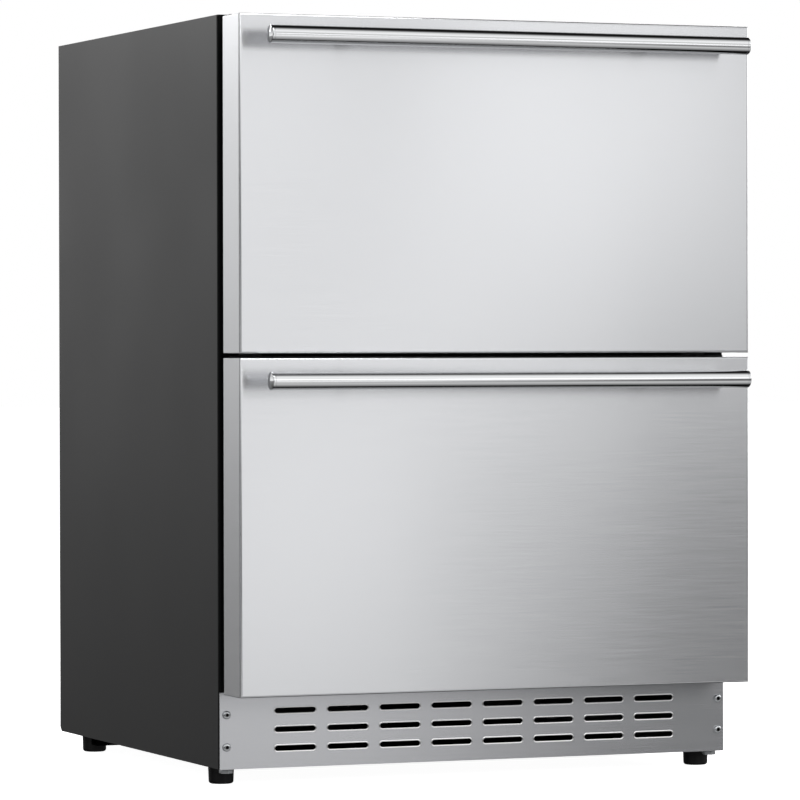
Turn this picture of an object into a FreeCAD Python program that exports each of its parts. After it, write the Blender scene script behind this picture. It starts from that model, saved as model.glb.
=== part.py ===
import FreeCAD, Part
import math
import os

# Undercounter freezer with two drawers, in millimetres. X runs across the front, Y runs back, Z up.
# The origin is on the floor, at the middle of the outline seen from above.

# Cabinet shell
cabinet_width = 595.0
cabinet_depth = 545.0
cabinet_height = 802.0
foot_clearance = 18.0
shell_sheet = 1.0
shell_bend = 2.0
front_flange = 22.0
foot_flange = 34.0
rear_corner_cut = 5.0

# Kick plate
kick_height = 82.0
kick_sheet = 1.2
kick_overlap = 1.6
kick_fold = 14.0
kick_fold_gap = 1.0
slot_length = 46.5
slot_width = 6.0
slot_pitch = 60.5
slot_row_pitch = 20.2
slot_columns = 8
slot_rows = 3
kick_screw_inset = 7.5
kick_screw_pitch = 34.4
kick_screw_head = 9.0
kick_screw_head_height = 2.6
kick_screw_shank = 4.0
kick_screw_length = 9.0
cross_length = 5.0
cross_width = 1.1
cross_depth = 1.5
screw_clearance = 0.4

# Drawer fronts
top_reveal = 2.5
front_gap = 4.5
front_thickness = 50.0
seal_gap = 15.0
skin_sheet = 1.0
skin_bend = 2.0
skin_lip = 9.0
panel_wall = 2.5
panel_edge_inset = 1.0
panel_tab_height = 2.2
panel_tab_inset = 7.0
plug_margin = 10.0
plug_depth = 26.0
gasket_inset = 10.0
gasket_width = 14.0
gasket_foot = 4.0
gasket_bulb_width = 9.0
gasket_clearance = 0.3

# Bar handles
handle_diameter = 19.0
handle_length = 557.0
handle_offset = 38.0
handle_drop = 24.0
handle_wall = 1.5
handle_cap_thickness = 4.0
handle_cap_plug = 9.0
handle_cap_edge = 1.2
cap_clearance = 0.1
post_diameter = 13.0
post_spacing = 348.0
handle_screw_diameter = 5.0
handle_screw_head = 9.0
handle_screw_head_height = 3.0
handle_screw_reach = 12.0

# Insulated box
side_insulation = 46.0
top_insulation = 46.0
floor_insulation = 44.0
back_insulation = 50.0
step_insulation = 42.0
liner_wall = 2.5
box_rise = 1.0
bay_depth = 195.0
bay_height = 214.0
mullion_height = 52.0
mullion_depth = 45.0

# Telescopic slides
rail_length = 400.0
rail_height = 45.0
rail_width = 12.7
rail_sheet = 1.2
ball_race = 4.0
race_clearance = 0.3
web_gap = 2.3
rail_setback = 5.0

# Drawer bins
bracket_sheet = 2.0
bracket_tab = 36.0
bracket_skirt = 16.0
bin_gap = 3.0
bin_side_gap = 1.0
bin_wall = 2.5
bin_corner = 6.0
bin_floor_corner = 4.0
bin_rim = 3.0
bin_floor_gap = 9.0
upper_bin_back_gap = 26.0
upper_bin_height = 222.0
upper_rail_rise = 52.0
lower_bin_back_gap = 14.0
lower_bin_height = 238.0
lower_rail_rise = 184.0

# Levelling feet
foot_top_diameter = 28.0
foot_bottom_diameter = 25.0
foot_edge = 2.0
foot_gap = 0.3
foot_side_inset = 15.5
foot_front_inset = 38.0
foot_rear_inset = 80.0
stud_diameter = 10.0
stud_reach = 30.0
stud_seat = 8.0
stud_clearance = 0.3
nut_width = 17.0
nut_height = 8.0

# Corner bolts under the cabinet
bolt_side_inset = 11.5
bolt_front_inset = 12.0
bolt_head_width = 13.0
bolt_head_height = 5.0
bolt_shank = 6.0
bolt_length = 10.0
bolt_clearance = 0.3

# Base pan and its beam
pan_gap = 0.5
beam_front = 121.0
beam_width = 21.0
beam_drop = 8.5
beam_side_inset = 5.0
beam_wall = 1.5

# Rear cover and power inlet
cover_gap = 1.0
vent_length = 60.0
vent_width = 5.0
vent_pitch = 76.0
vent_row_pitch = 14.0
vent_columns = 5
vent_rows = 8
inlet_side_inset = 59.5
inlet_height = 44.0
inlet_width = 30.0
inlet_tall = 22.0
inlet_body = 26.0
inlet_recess = 17.0
inlet_wall = 3.0
pin_width = 2.0
pin_tall = 4.0
pin_pitch = 7.0
pin_reach = 14.0

# Condensing unit
condenser_side_gap = 24.0
condenser_thickness = 48.0
condenser_length = 168.0
condenser_height = 180.0
condenser_fins = 24
condenser_fin_sheet = 0.8
condenser_tube = 8.0
condenser_tube_columns = 2
condenser_tube_rows = 6
end_plate = 1.5
shroud_sheet = 2.0
shroud_ring_wall = 2.0
shroud_ring_length = 30.0
shroud_bar_width = 16.0
shroud_bar_sheet = 3.0
condenser_fan_diameter = 124.0
condenser_fan_hub = 34.0
condenser_fan_chord = 40.0
fan_tip_gap = 4.0
fan_hub_length = 16.0
fan_blade_sheet = 1.6
fan_blade_pitch = 34.0
fan_blades = 5
fan_shaft = 5.0
fan_shaft_clearance = 0.05
fan_motor_gap = 3.0
condenser_motor_diameter = 58.0
condenser_motor_length = 32.0
compressor_side_inset = 177.5
compressor_diameter = 140.0
compressor_height = 148.0
compressor_dome = 24.0
compressor_plate = 3.0
compressor_plate_length = 176.0
compressor_plate_width = 112.0
terminal_box_reach = 22.0
terminal_box_width = 50.0
terminal_box_height = 60.0
mount_diameter = 24.0
mount_height = 17.0
mount_inset = 15.0
line_diameter = 6.4
line_bend = 10.0
line_drop_bend = 5.0
line_roof_gap = 8.0
discharge_offset = 25.0
suction_offset = 30.0
suction_run = 75.0
suction_fall = 22.0
tray_motor_gap = 27.5
tray_compressor_gap = 26.0
tray_width = 120.0
tray_height = 30.0
tray_wall = 2.0
drain_diameter = 16.0
drain_offset = 32.0
drain_wall = 2.0
drain_end_gap = 6.0
drain_clearance = 0.3

# Evaporator and its fan
evaporator_space = 58.0
evaporator_cover_sheet = 2.0
cover_fit = 0.3
evaporator_length = 380.0
evaporator_depth = 44.0
evaporator_height = 128.0
evaporator_stand = 20.0
evaporator_fins = 26
evaporator_fin_sheet = 0.8
evaporator_tube = 8.0
evaporator_tube_columns = 2
evaporator_tube_rows = 4
evaporator_fan_rise = 112.0
evaporator_fan_diameter = 108.0
evaporator_fan_hub = 32.0
evaporator_fan_chord = 28.0
evaporator_fan_hole = 120.0
guard_bar = 4.0
guard_bars = 6
guard_ring = 34.0
evaporator_motor_diameter = 52.0
evaporator_motor_length = 20.0
motor_foot_height = 90.0
motor_foot_width = 40.0
motor_foot_sheet = 3.0
return_slot_length = 36.0
return_slot_width = 6.0
return_slot_pitch = 46.0
return_slot_row_pitch = 14.0
return_slot_columns = 9
return_slot_rows = 3
return_slot_rise = 24.0

# Control housing and lamp
control_width = 180.0
control_depth = 56.0
control_height = 24.0
control_setback = 20.0
control_slope = 10.0
lamp_width = 160.0
lamp_depth = 18.0
lamp_height = 7.0
lamp_gap = 2.0

# Planes that the pieces share
half_width = cabinet_width / 2
handle_reach = handle_offset + handle_diameter / 2
overall_depth = handle_reach + front_thickness + seal_gap + cabinet_depth
y_face = handle_reach - overall_depth / 2
y_skin_rear = y_face + front_thickness
y_panel_rear = y_skin_rear + panel_wall
y_plug = y_panel_rear + plug_depth
y_cabinet = y_skin_rear + seal_gap
y_back = y_cabinet + cabinet_depth
y_shell_back = y_back - shell_sheet
y_bay = y_back - bay_depth
y_handle = y_face - handle_offset
z_base = foot_clearance
z_floor = z_base + shell_sheet
z_top = z_base + cabinet_height
z_kick = z_base + kick_height
z_box = z_kick + box_rise
z_bay = z_base + bay_height
inner_half = half_width - shell_sheet
flange_half = half_width - front_flange
lower_front_bottom = z_kick - kick_overlap
front_height = (z_top - top_reveal - front_gap - lower_front_bottom) / 2
upper_front_bottom = lower_front_bottom + front_height + front_gap
cavity_half = inner_half - side_insulation - liner_wall
cavity_top = z_top - shell_sheet - top_insulation - liner_wall
cavity_floor = z_box + shell_sheet + floor_insulation + liner_wall
cavity_back = y_shell_back - back_insulation - liner_wall
y_liner = y_cabinet + liner_wall
y_step = y_bay - shell_sheet - step_insulation - liner_wall
z_step = z_bay + shell_sheet + step_insulation + liner_wall
mullion_middle = upper_front_bottom - front_gap / 2
mullion_bottom = mullion_middle - mullion_height / 2
mullion_top = mullion_middle + mullion_height / 2
y_cover = cavity_back - evaporator_space
bay_middle_y = (y_bay + y_shell_back) / 2
bay_middle_z = (z_floor + z_bay) / 2
foot_x = half_width - foot_side_inset
foot_y_front = y_cabinet + foot_front_inset
foot_y_rear = y_back - foot_rear_inset
bolt_x = half_width - bolt_side_inset
bolt_y = y_cabinet + bolt_front_inset
kick_screw_x = half_width - kick_screw_inset
kick_middle = (z_base + z_kick) / 2
x_condenser = -inner_half + condenser_side_gap
x_shroud = x_condenser + condenser_thickness
x_shroud_ring = x_shroud + shroud_sheet + shroud_ring_length
x_motor = x_shroud_ring + shroud_bar_sheet
fan_rotor_reach = condenser_fan_chord / 2 * math.sin(math.radians(fan_blade_pitch)) + fan_blade_sheet
x_rotor = x_shroud_ring - fan_motor_gap - fan_rotor_reach
condenser_stand = bay_middle_z - condenser_height / 2 - z_floor
condenser_top = bay_middle_z + condenser_height / 2
compressor_x = half_width - compressor_side_inset
tray_left = x_motor + condenser_motor_length + tray_motor_gap
tray_right = compressor_x - compressor_plate_length / 2 - tray_compressor_gap
discharge_x = compressor_x - discharge_offset
suction_x = compressor_x + suction_offset
suction_roof_x = suction_x + suction_run
inlet_x = half_width - inlet_side_inset
drain_x = (tray_left + tray_right) / 2
drain_y = bay_middle_y + drain_offset
evaporator_fan_z = z_step + evaporator_stand + evaporator_height + evaporator_fan_rise
rail_inner = cavity_half - rail_width
bracket_inner = rail_inner - bracket_sheet
bin_half = bracket_inner - bin_side_gap
bin_front = y_plug + bracket_sheet + bin_gap
rail_front = y_plug + rail_setback
rail_back = rail_front + rail_length

X_AXIS = FreeCAD.Vector(1, 0, 0)
Y_AXIS = FreeCAD.Vector(0, 1, 0)
Z_AXIS = FreeCAD.Vector(0, 0, 1)
ORIGIN = FreeCAD.Vector(0, 0, 0)


class Drawer:
    """Heights and bin sizes that set one drawer apart from the other."""

    def __init__(self, name, front_bottom, cavity_low, cavity_high, bin_back, bin_height, rail_rise):
        self.name = name
        self.bottom = front_bottom
        self.top = front_bottom + front_height
        self.handle_z = self.top - handle_drop
        self.plug_low = cavity_low + plug_margin
        self.plug_high = cavity_high - plug_margin
        self.bin_floor = cavity_low + bin_floor_gap
        self.bin_top = self.bin_floor + bin_height
        self.bin_back = bin_back
        self.rail_z = self.bin_floor + rail_rise


upper = Drawer("upper", upper_front_bottom, mullion_top, cavity_top,
               y_cover - evaporator_cover_sheet - upper_bin_back_gap, upper_bin_height, upper_rail_rise)
lower = Drawer("lower", lower_front_bottom, cavity_floor, mullion_bottom,
               y_step - lower_bin_back_gap, lower_bin_height, lower_rail_rise)


# Small helpers
def point(x, y, z):
    return FreeCAD.Vector(x, y, z)


def block(x0, x1, y0, y1, z0, z1):
    return Part.makeBox(x1 - x0, y1 - y0, z1 - z0, point(x0, y0, z0))


def rod(diameter, start, end):
    along = end - start
    return Part.makeCylinder(diameter / 2, along.Length, start, along)


def fuse(shapes):
    return shapes[0].multiFuse(shapes[1:]).removeSplitter()


def cut(shape, tools):
    return shape.cut(tools)


def group(shapes):
    return Part.makeCompound(shapes)


def mirrored(shape):
    return shape.mirror(ORIGIN, X_AXIS)


def both_sides(shape):
    return group([shape, mirrored(shape)])


def spread(count, pitch):
    first = -(count - 1) * pitch / 2
    return [first + index * pitch for index in range(count)]


def across(profile, half):
    corners = [point(-half, y, z) for y, z in profile]
    outline = Part.makePolygon(corners + corners[:1])
    return Part.Face(outline).extrude(point(2 * half, 0, 0))


def slot(length, width, x, y0, y1, z):
    straight = (length - width) / 2
    middle = block(x - straight, x + straight, y0, y1, z - width / 2, z + width / 2)
    ends = [rod(width, point(x + side * straight, y0, z), point(x + side * straight, y1, z)) for side in (-1, 1)]
    return fuse([middle] + ends)


def edges_where(shape, test):
    return [edge for edge in shape.Edges if all(test(vertex.Point) for vertex in edge.Vertexes)]


def near(a, b):
    return abs(a - b) < 1e-4


def hexagon(width, x, y, z0, z1):
    radius = width / math.sqrt(3)
    turns = [math.radians(60 * index) for index in range(7)]
    corners = [point(x + radius * math.cos(turn), y + radius * math.sin(turn), z0) for turn in turns]
    return Part.Face(Part.makePolygon(corners)).extrude(point(0, 0, z1 - z0))


def bent_line(points, diameter, bends):
    edges = []
    start = points[0]
    for before, corner, after, bend in zip(points, points[1:], points[2:], bends):
        inward = (before - corner).normalize()
        outward = (after - corner).normalize()
        half_turn = (math.pi - inward.getAngle(outward)) / 2
        setback = bend * math.tan(half_turn)
        arc_start = corner + inward * setback
        arc_end = corner + outward * setback
        bisector = (inward + outward).normalize()
        crown = corner + bisector * (bend / math.cos(half_turn) - bend)
        edges.append(Part.makeLine(start, arc_start))
        edges.append(Part.Arc(arc_start, crown, arc_end).toShape())
        start = arc_end
    edges.append(Part.makeLine(start, points[-1]))
    section = Part.Wire(Part.makeCircle(diameter / 2, points[0], points[1] - points[0]))
    return Part.Wire(edges).makePipeShell([section], True, False)


def fan_rotor(diameter, hub, chord):
    blade_root = hub / 2 - fan_blade_sheet
    outline = [point(blade_root, -chord / 3, 0), point(diameter / 2, -chord / 2, 0),
               point(diameter / 2, chord / 2, 0), point(blade_root, chord / 3, 0)]
    plate = Part.Face(Part.makePolygon(outline + outline[:1])).extrude(Z_AXIS * fan_blade_sheet)
    plate.translate(Z_AXIS * (-fan_blade_sheet / 2))
    plate.rotate(ORIGIN, X_AXIS, fan_blade_pitch)
    sweep = Part.makeCylinder(diameter / 2, 2 * chord, Z_AXIS * -chord)
    blade = plate.common(sweep)
    shapes = [Part.makeCylinder(hub / 2, fan_hub_length, Z_AXIS * (-fan_hub_length / 2))]
    for index in range(fan_blades):
        turned = blade.copy()
        turned.rotate(ORIGIN, Z_AXIS, 360 * index / fan_blades)
        shapes.append(turned)
    bore = Part.makeCylinder(fan_shaft / 2 + fan_shaft_clearance, 2 * chord, Z_AXIS * -chord)
    return cut(fuse(shapes), [bore])


def fin_block(length, depth, height, fins, fin_sheet, tube, columns, rows, stand):
    plates = []
    for index in range(1, fins - 1):
        x = -length / 2 + index * length / (fins - 1)
        plates.append(block(x - fin_sheet / 2, x + fin_sheet / 2, -depth / 2, depth / 2, 0, height))
    for x in (-length / 2, length / 2 - end_plate):
        plates.append(block(x, x + end_plate, -depth / 2, depth / 2, -stand, height))
    for y in spread(columns, depth / columns):
        for z in spread(rows, height / rows):
            plates.append(rod(tube, point(-length / 2, y, height / 2 + z), point(length / 2, y, height / 2 + z)))
    return fuse(plates)


# Cabinet shell
def foot_places():
    return [(side * foot_x, y) for side in (-1, 1) for y in (foot_y_front, foot_y_rear)]


def side_panel():
    sheet = block(-half_width, -inner_half, y_cabinet, y_back, z_base, z_top)
    flange = block(-half_width, -flange_half, y_cabinet, y_cabinet + shell_sheet, z_base, z_top)
    sole = block(-half_width, -half_width + foot_flange, y_cabinet, y_shell_back, z_base, z_floor)
    panel = fuse([sheet, flange, sole])
    front_edge = edges_where(panel, lambda p: near(p.x, -half_width) and near(p.y, y_cabinet))
    panel = panel.makeFillet(shell_bend, front_edge)
    corner = [(y_back, z_base), (y_back - rear_corner_cut, z_base), (y_back, z_base + rear_corner_cut)]
    holes = [across(corner, cabinet_width)]
    for y in (foot_y_front, foot_y_rear):
        holes.append(rod(stud_diameter + 2 * stud_clearance, point(-foot_x, y, 0), point(-foot_x, y, z_kick)))
    holes.append(rod(bolt_shank + 2 * bolt_clearance, point(-bolt_x, bolt_y, 0), point(-bolt_x, bolt_y, z_kick)))
    holes += [hole for hole in kick_screw_holes(y_cabinet - shell_sheet, y_cabinet + front_flange)]
    return cut(panel, holes)


def top_panel():
    sheet = block(-inner_half, inner_half, y_cabinet + shell_sheet, y_back, z_top - shell_sheet, z_top)
    flange = block(-flange_half, flange_half, y_cabinet, y_cabinet + shell_sheet, z_top - front_flange, z_top)
    panel = fuse([sheet, flange])
    front_edge = edges_where(panel, lambda p: near(p.z, z_top) and near(p.y, y_cabinet))
    return panel.makeFillet(shell_bend / 2, front_edge)


def back_panel():
    return block(-inner_half, inner_half, y_shell_back, y_back, z_bay, z_top - shell_sheet)


def bay_panel():
    flange = block(-flange_half, flange_half, y_cabinet, y_cabinet + shell_sheet, z_box, z_box + front_flange)
    floor = block(-inner_half, inner_half, y_cabinet + shell_sheet, y_bay, z_box, z_box + shell_sheet)
    wall = block(-inner_half, inner_half, y_bay - shell_sheet, y_bay, z_box, z_bay + shell_sheet)
    roof = block(-inner_half, inner_half, y_bay - shell_sheet, y_shell_back, z_bay, z_bay + shell_sheet)
    return cut(fuse([flange, floor, wall, roof]), [drain_passage()])


def base_pan():
    pan_half = half_width - foot_flange - pan_gap
    plate = block(-pan_half, pan_half, y_cabinet + kick_fold + pan_gap, y_shell_back, z_base, z_floor)
    beam_half = half_width - beam_side_inset
    y0 = y_back - beam_front
    beam = block(-beam_half, beam_half, y0, y0 + beam_width, z_base - beam_drop, z_base)
    hollow = block(-beam_half, beam_half, y0 + beam_wall, y0 + beam_width - beam_wall,
                   z_base - beam_drop + beam_wall, z_base)
    return fuse([plate, cut(beam, [hollow])])


def rear_cover():
    low = z_floor + rear_corner_cut
    plate = block(-inner_half, inner_half, y_shell_back, y_back, low, z_bay - cover_gap)
    holes = [inlet_outline(y_shell_back, y_back, 0)]
    for x in spread(vent_columns, vent_pitch):
        for z in spread(vent_rows, vent_row_pitch):
            holes.append(slot(vent_length, vent_width, x, y_shell_back, y_back, bay_middle_z + z))
    return cut(plate, holes)


# Kick plate and its screws
def kick_screw_places():
    return [(side * kick_screw_x, kick_middle + z) for side in (-1, 1) for z in spread(2, kick_screw_pitch)]


def kick_screw_holes(y0, y1):
    size = kick_screw_shank + screw_clearance
    return [rod(size, point(x, y0, z), point(x, y1, z)) for x, z in kick_screw_places()]


def kick_plate():
    y0 = y_cabinet - kick_sheet
    plate = block(-half_width, half_width, y0, y_cabinet, z_base, z_kick)
    fold_half = half_width - foot_flange - kick_fold_gap
    fold = block(-fold_half, fold_half, y0, y_cabinet + kick_fold, z_base, z_base + kick_sheet)
    holes = kick_screw_holes(y0, y_cabinet)
    for x in spread(slot_columns, slot_pitch):
        for z in spread(slot_rows, slot_row_pitch):
            holes.append(slot(slot_length, slot_width, x, y0, y_cabinet, kick_middle + z))
    return cut(fuse([plate, fold]), holes)


def kick_screw(x, z):
    y_seat = y_cabinet - kick_sheet
    y_crown = y_seat - kick_screw_head_height
    head = rod(kick_screw_head, point(x, y_crown, z), point(x, y_seat, z))
    head = head.makeFillet(kick_screw_head_height * 0.7, edges_where(head, lambda p: near(p.y, y_crown)))
    shank = rod(kick_screw_shank, point(x, y_crown + kick_screw_head_height, z),
                point(x, y_seat + kick_screw_length, z))
    arm = cross_length / 2
    thin = cross_width / 2
    cross = [block(x - arm, x + arm, y_crown, y_crown + cross_depth, z - thin, z + thin),
             block(x - thin, x + thin, y_crown, y_crown + cross_depth, z - arm, z + arm)]
    return cut(fuse([head, shank]), cross)


def kick_plate_screws():
    return group([kick_screw(x, z) for x, z in kick_screw_places()])


# Feet and the bolts beside them
def foot_glide(x, y):
    height = z_base - foot_gap
    cone = Part.makeCone(foot_bottom_diameter / 2, foot_top_diameter / 2, height, point(x, y, 0))
    rim = [edge for edge in cone.Edges if near(edge.BoundBox.ZMax, 0) and len(edge.Vertexes) == 1]
    return cut(cone.makeFillet(foot_edge, rim), [foot_stud(x, y)])


def foot_stud(x, y):
    return rod(stud_diameter, point(x, y, z_base - stud_seat), point(x, y, z_floor + stud_reach))


def foot_nuts():
    nuts = []
    for x, y in foot_places():
        nut = hexagon(nut_width, x, y, z_floor, z_floor + nut_height)
        bore = rod(stud_diameter + 2 * stud_clearance, point(x, y, z_base), point(x, y, z_kick))
        nuts.append(cut(nut, [bore]))
    return group(nuts)


def corner_bolts():
    head = hexagon(bolt_head_width, bolt_x, bolt_y, z_base - bolt_head_height, z_base)
    shank = rod(bolt_shank, point(bolt_x, bolt_y, z_base), point(bolt_x, bolt_y, z_base + bolt_length))
    return both_sides(fuse([head, shank]))


# Insulated box
def liner_profile(wall):
    return [(y_liner, cavity_floor - wall), (y_step + wall, cavity_floor - wall),
            (y_step + wall, z_step - wall), (cavity_back + wall, z_step - wall),
            (cavity_back + wall, cavity_top + wall), (y_liner, cavity_top + wall)]


def drain_passage():
    size = drain_diameter + 2 * drain_clearance
    return rod(size, point(drain_x, drain_y, z_floor), point(drain_x, drain_y, z_step))


def inner_liner():
    tub = across(liner_profile(liner_wall), cavity_half + liner_wall)
    return cut(tub, [across(liner_profile(0), cavity_half), drain_passage()])


def insulation_foam():
    z0 = z_box + shell_sheet
    z1 = z_top - shell_sheet
    roof = z_bay + shell_sheet
    wall = y_bay - shell_sheet
    outline = [(y_liner, z0), (wall, z0), (wall, roof), (y_shell_back, roof), (y_shell_back, z1), (y_liner, z1)]
    hollow = across(liner_profile(liner_wall), cavity_half + liner_wall)
    return cut(across(outline, inner_half), [hollow, drain_passage()])


def breaker_frame():
    low = z_box + front_flange
    high = z_top - front_flange
    outer = block(-flange_half, flange_half, y_cabinet, y_liner, low, high)
    return cut(outer, [block(-cavity_half, cavity_half, y_cabinet, y_liner, cavity_floor, cavity_top)])


def mullion():
    return block(-cavity_half, cavity_half, y_cabinet, y_cabinet + mullion_depth, mullion_bottom, mullion_top)


def drain_tube():
    low = z_floor + tray_wall + drain_end_gap
    outer = rod(drain_diameter, point(drain_x, drain_y, low), point(drain_x, drain_y, z_step))
    inner = rod(drain_diameter - 2 * drain_wall, point(drain_x, drain_y, low), point(drain_x, drain_y, z_step))
    return cut(outer, [inner])


def drain_tray():
    y0 = bay_middle_y - tray_width / 2
    outer = block(tray_left, tray_right, y0, y0 + tray_width, z_floor, z_floor + tray_height)
    inner = block(tray_left + tray_wall, tray_right - tray_wall, y0 + tray_wall, y0 + tray_width - tray_wall,
                  z_floor + tray_wall, z_floor + tray_height)
    return cut(outer, [inner])


# Evaporator behind its cover
def evaporator_coil():
    coil = fin_block(evaporator_length, evaporator_depth, evaporator_height, evaporator_fins,
                     evaporator_fin_sheet, evaporator_tube, evaporator_tube_columns,
                     evaporator_tube_rows, evaporator_stand)
    coil.translate(point(0, (y_cover + cavity_back) / 2, z_step + evaporator_stand))
    return coil


def evaporator_cover():
    y0 = y_cover - evaporator_cover_sheet
    half = cavity_half - cover_fit
    plate = block(-half, half, y0, y_cover, z_step, cavity_top - cover_fit)
    centre = point(0, y0, evaporator_fan_z)
    hole = rod(evaporator_fan_hole, centre, centre + Y_AXIS * evaporator_cover_sheet)
    spokes = [rod(guard_ring, centre, centre + Y_AXIS * evaporator_cover_sheet)]
    for index in range(guard_bars):
        spoke = block(-evaporator_fan_hole / 2 - guard_bar, evaporator_fan_hole / 2 + guard_bar, y0, y_cover,
                      evaporator_fan_z - guard_bar / 2, evaporator_fan_z + guard_bar / 2)
        spoke.rotate(centre, Y_AXIS, 180 * index / guard_bars)
        spokes.append(spoke)
    holes = [cut(hole, [fuse(spokes)])]
    for x in spread(return_slot_columns, return_slot_pitch):
        for row in range(return_slot_rows):
            z = z_step + return_slot_rise + row * return_slot_row_pitch
            holes.append(slot(return_slot_length, return_slot_width, x, y0, y_cover, z))
    return cut(plate, holes)


def evaporator_motor_front():
    return cavity_back - motor_foot_sheet - evaporator_motor_length


def evaporator_rotor_reach():
    return evaporator_fan_chord / 2 * math.sin(math.radians(fan_blade_pitch)) + fan_blade_sheet


def evaporator_fan_middle():
    return evaporator_motor_front() - fan_motor_gap - evaporator_rotor_reach()


def evaporator_fan_motor():
    y0 = evaporator_motor_front()
    z = evaporator_fan_z
    foot = block(-motor_foot_width / 2, motor_foot_width / 2, cavity_back - motor_foot_sheet, cavity_back,
                 z - motor_foot_height / 2, z + motor_foot_height / 2)
    can = rod(evaporator_motor_diameter, point(0, y0, z), point(0, cavity_back - motor_foot_sheet, z))
    tip = evaporator_fan_middle() - fan_hub_length / 2
    shaft = rod(fan_shaft, point(0, tip, z), point(0, y0, z))
    return fuse([foot, can, shaft])


def evaporator_fan():
    rotor = fan_rotor(evaporator_fan_diameter, evaporator_fan_hub, evaporator_fan_chord)
    rotor.rotate(ORIGIN, X_AXIS, 90)
    rotor.translate(point(0, evaporator_fan_middle(), evaporator_fan_z))
    return rotor


# Condensing unit in the machine bay
def condenser_coil():
    coil = fin_block(condenser_length, condenser_thickness, condenser_height, condenser_fins,
                     condenser_fin_sheet, condenser_tube, condenser_tube_columns,
                     condenser_tube_rows, condenser_stand)
    coil.rotate(ORIGIN, Z_AXIS, 90)
    coil.translate(point(x_condenser + condenser_thickness / 2, bay_middle_y, z_floor + condenser_stand))
    return coil


def condenser_fan_shroud():
    centre = point(x_shroud, bay_middle_y, bay_middle_z)
    bore = condenser_fan_diameter + 2 * fan_tip_gap
    plate = block(x_shroud, x_shroud + shroud_sheet, bay_middle_y - condenser_length / 2,
                  bay_middle_y + condenser_length / 2, z_floor, condenser_top)
    ring = rod(bore + 2 * shroud_ring_wall, centre, point(x_shroud_ring, bay_middle_y, bay_middle_z))
    drum = cut(fuse([plate, ring]), [rod(bore, centre, point(x_shroud_ring, bay_middle_y, bay_middle_z))])
    half_bar = bore / 2 + shroud_ring_wall
    bar = block(x_shroud_ring, x_motor, bay_middle_y - half_bar, bay_middle_y + half_bar,
                bay_middle_z - shroud_bar_width / 2, bay_middle_z + shroud_bar_width / 2)
    shaft_hole = rod(fan_shaft + 2 * fan_motor_gap, point(x_shroud_ring, bay_middle_y, bay_middle_z),
                     point(x_motor, bay_middle_y, bay_middle_z))
    return cut(fuse([drum, bar]), [shaft_hole])


def condenser_fan_motor():
    can = rod(condenser_motor_diameter, point(x_motor, bay_middle_y, bay_middle_z),
              point(x_motor + condenser_motor_length, bay_middle_y, bay_middle_z))
    shaft = rod(fan_shaft, point(x_rotor - fan_hub_length / 2, bay_middle_y, bay_middle_z),
                point(x_motor, bay_middle_y, bay_middle_z))
    return fuse([can, shaft])


def condenser_fan():
    rotor = fan_rotor(condenser_fan_diameter, condenser_fan_hub, condenser_fan_chord)
    rotor.rotate(ORIGIN, Y_AXIS, 90)
    rotor.translate(point(x_rotor, bay_middle_y, bay_middle_z))
    return rotor


z_plate = z_floor + mount_height
compressor_top = z_plate + compressor_plate + compressor_height


def compressor():
    plate = block(compressor_x - compressor_plate_length / 2, compressor_x + compressor_plate_length / 2,
                  bay_middle_y - compressor_plate_width / 2, bay_middle_y + compressor_plate_width / 2,
                  z_plate, z_plate + compressor_plate)
    low = z_plate + compressor_plate
    shell = rod(compressor_diameter, point(compressor_x, bay_middle_y, low),
                point(compressor_x, bay_middle_y, compressor_top))
    crown = [edge for edge in shell.Edges if near(edge.BoundBox.ZMin, compressor_top)]
    shell = shell.makeFillet(compressor_dome, crown)
    x_side = compressor_x + compressor_diameter / 2
    box_low = low + compressor_height / 2 - terminal_box_height / 2
    box = block(compressor_x, x_side + terminal_box_reach, bay_middle_y - terminal_box_width / 2,
                bay_middle_y + terminal_box_width / 2, box_low, box_low + terminal_box_height)
    return fuse([plate, shell, box])


def compressor_mounts():
    dx = compressor_plate_length / 2 - mount_inset
    dy = compressor_plate_width / 2 - mount_inset
    mounts = []
    for x in (compressor_x - dx, compressor_x + dx):
        for y in (bay_middle_y - dy, bay_middle_y + dy):
            mounts.append(rod(mount_diameter, point(x, y, z_floor), point(x, y, z_plate)))
    return group(mounts)


def refrigerant_lines():
    y = bay_middle_y
    run = z_bay - line_roof_gap
    x_in = x_condenser + condenser_thickness / 2
    discharge = [point(discharge_x, y, compressor_top), point(discharge_x, y, run),
                 point(x_in, y, run), point(x_in, y, condenser_top)]
    fall = z_bay - suction_fall
    suction = [point(suction_x, y, compressor_top), point(suction_x, y, fall),
               point(suction_roof_x, y, fall), point(suction_roof_x, y, z_bay)]
    return group([bent_line(discharge, line_diameter, (line_bend, line_drop_bend)),
                  bent_line(suction, line_diameter, (line_bend, line_bend))])


# Power inlet in the rear cover
def inlet_outline(y0, y1, inset):
    wide = inlet_width / 2 - inset
    tall = inlet_tall / 2 - inset
    z = z_base + inlet_height
    return block(inlet_x - wide, inlet_x + wide, y0, y1, z - tall, z + tall)


def power_inlet():
    z = z_base + inlet_height
    body = cut(inlet_outline(y_back - inlet_body, y_back, 0),
               [inlet_outline(y_back - inlet_recess, y_back, inlet_wall)])
    y0 = y_back - inlet_recess
    pins = []
    for x in spread(3, pin_pitch):
        pins.append(block(inlet_x + x - pin_width / 2, inlet_x + x + pin_width / 2, y0, y0 + pin_reach,
                          z - pin_tall / 2, z + pin_tall / 2))
    return fuse([body] + pins)


# Control housing and lamp under the cavity ceiling
def control_panel():
    y0 = y_cabinet + mullion_depth - control_setback
    y1 = y0 + control_depth
    low = cavity_top - control_height
    profile = [(y0, cavity_top), (y0 + control_slope, low), (y1, low), (y1, cavity_top)]
    return across(profile, control_width / 2)


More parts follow.
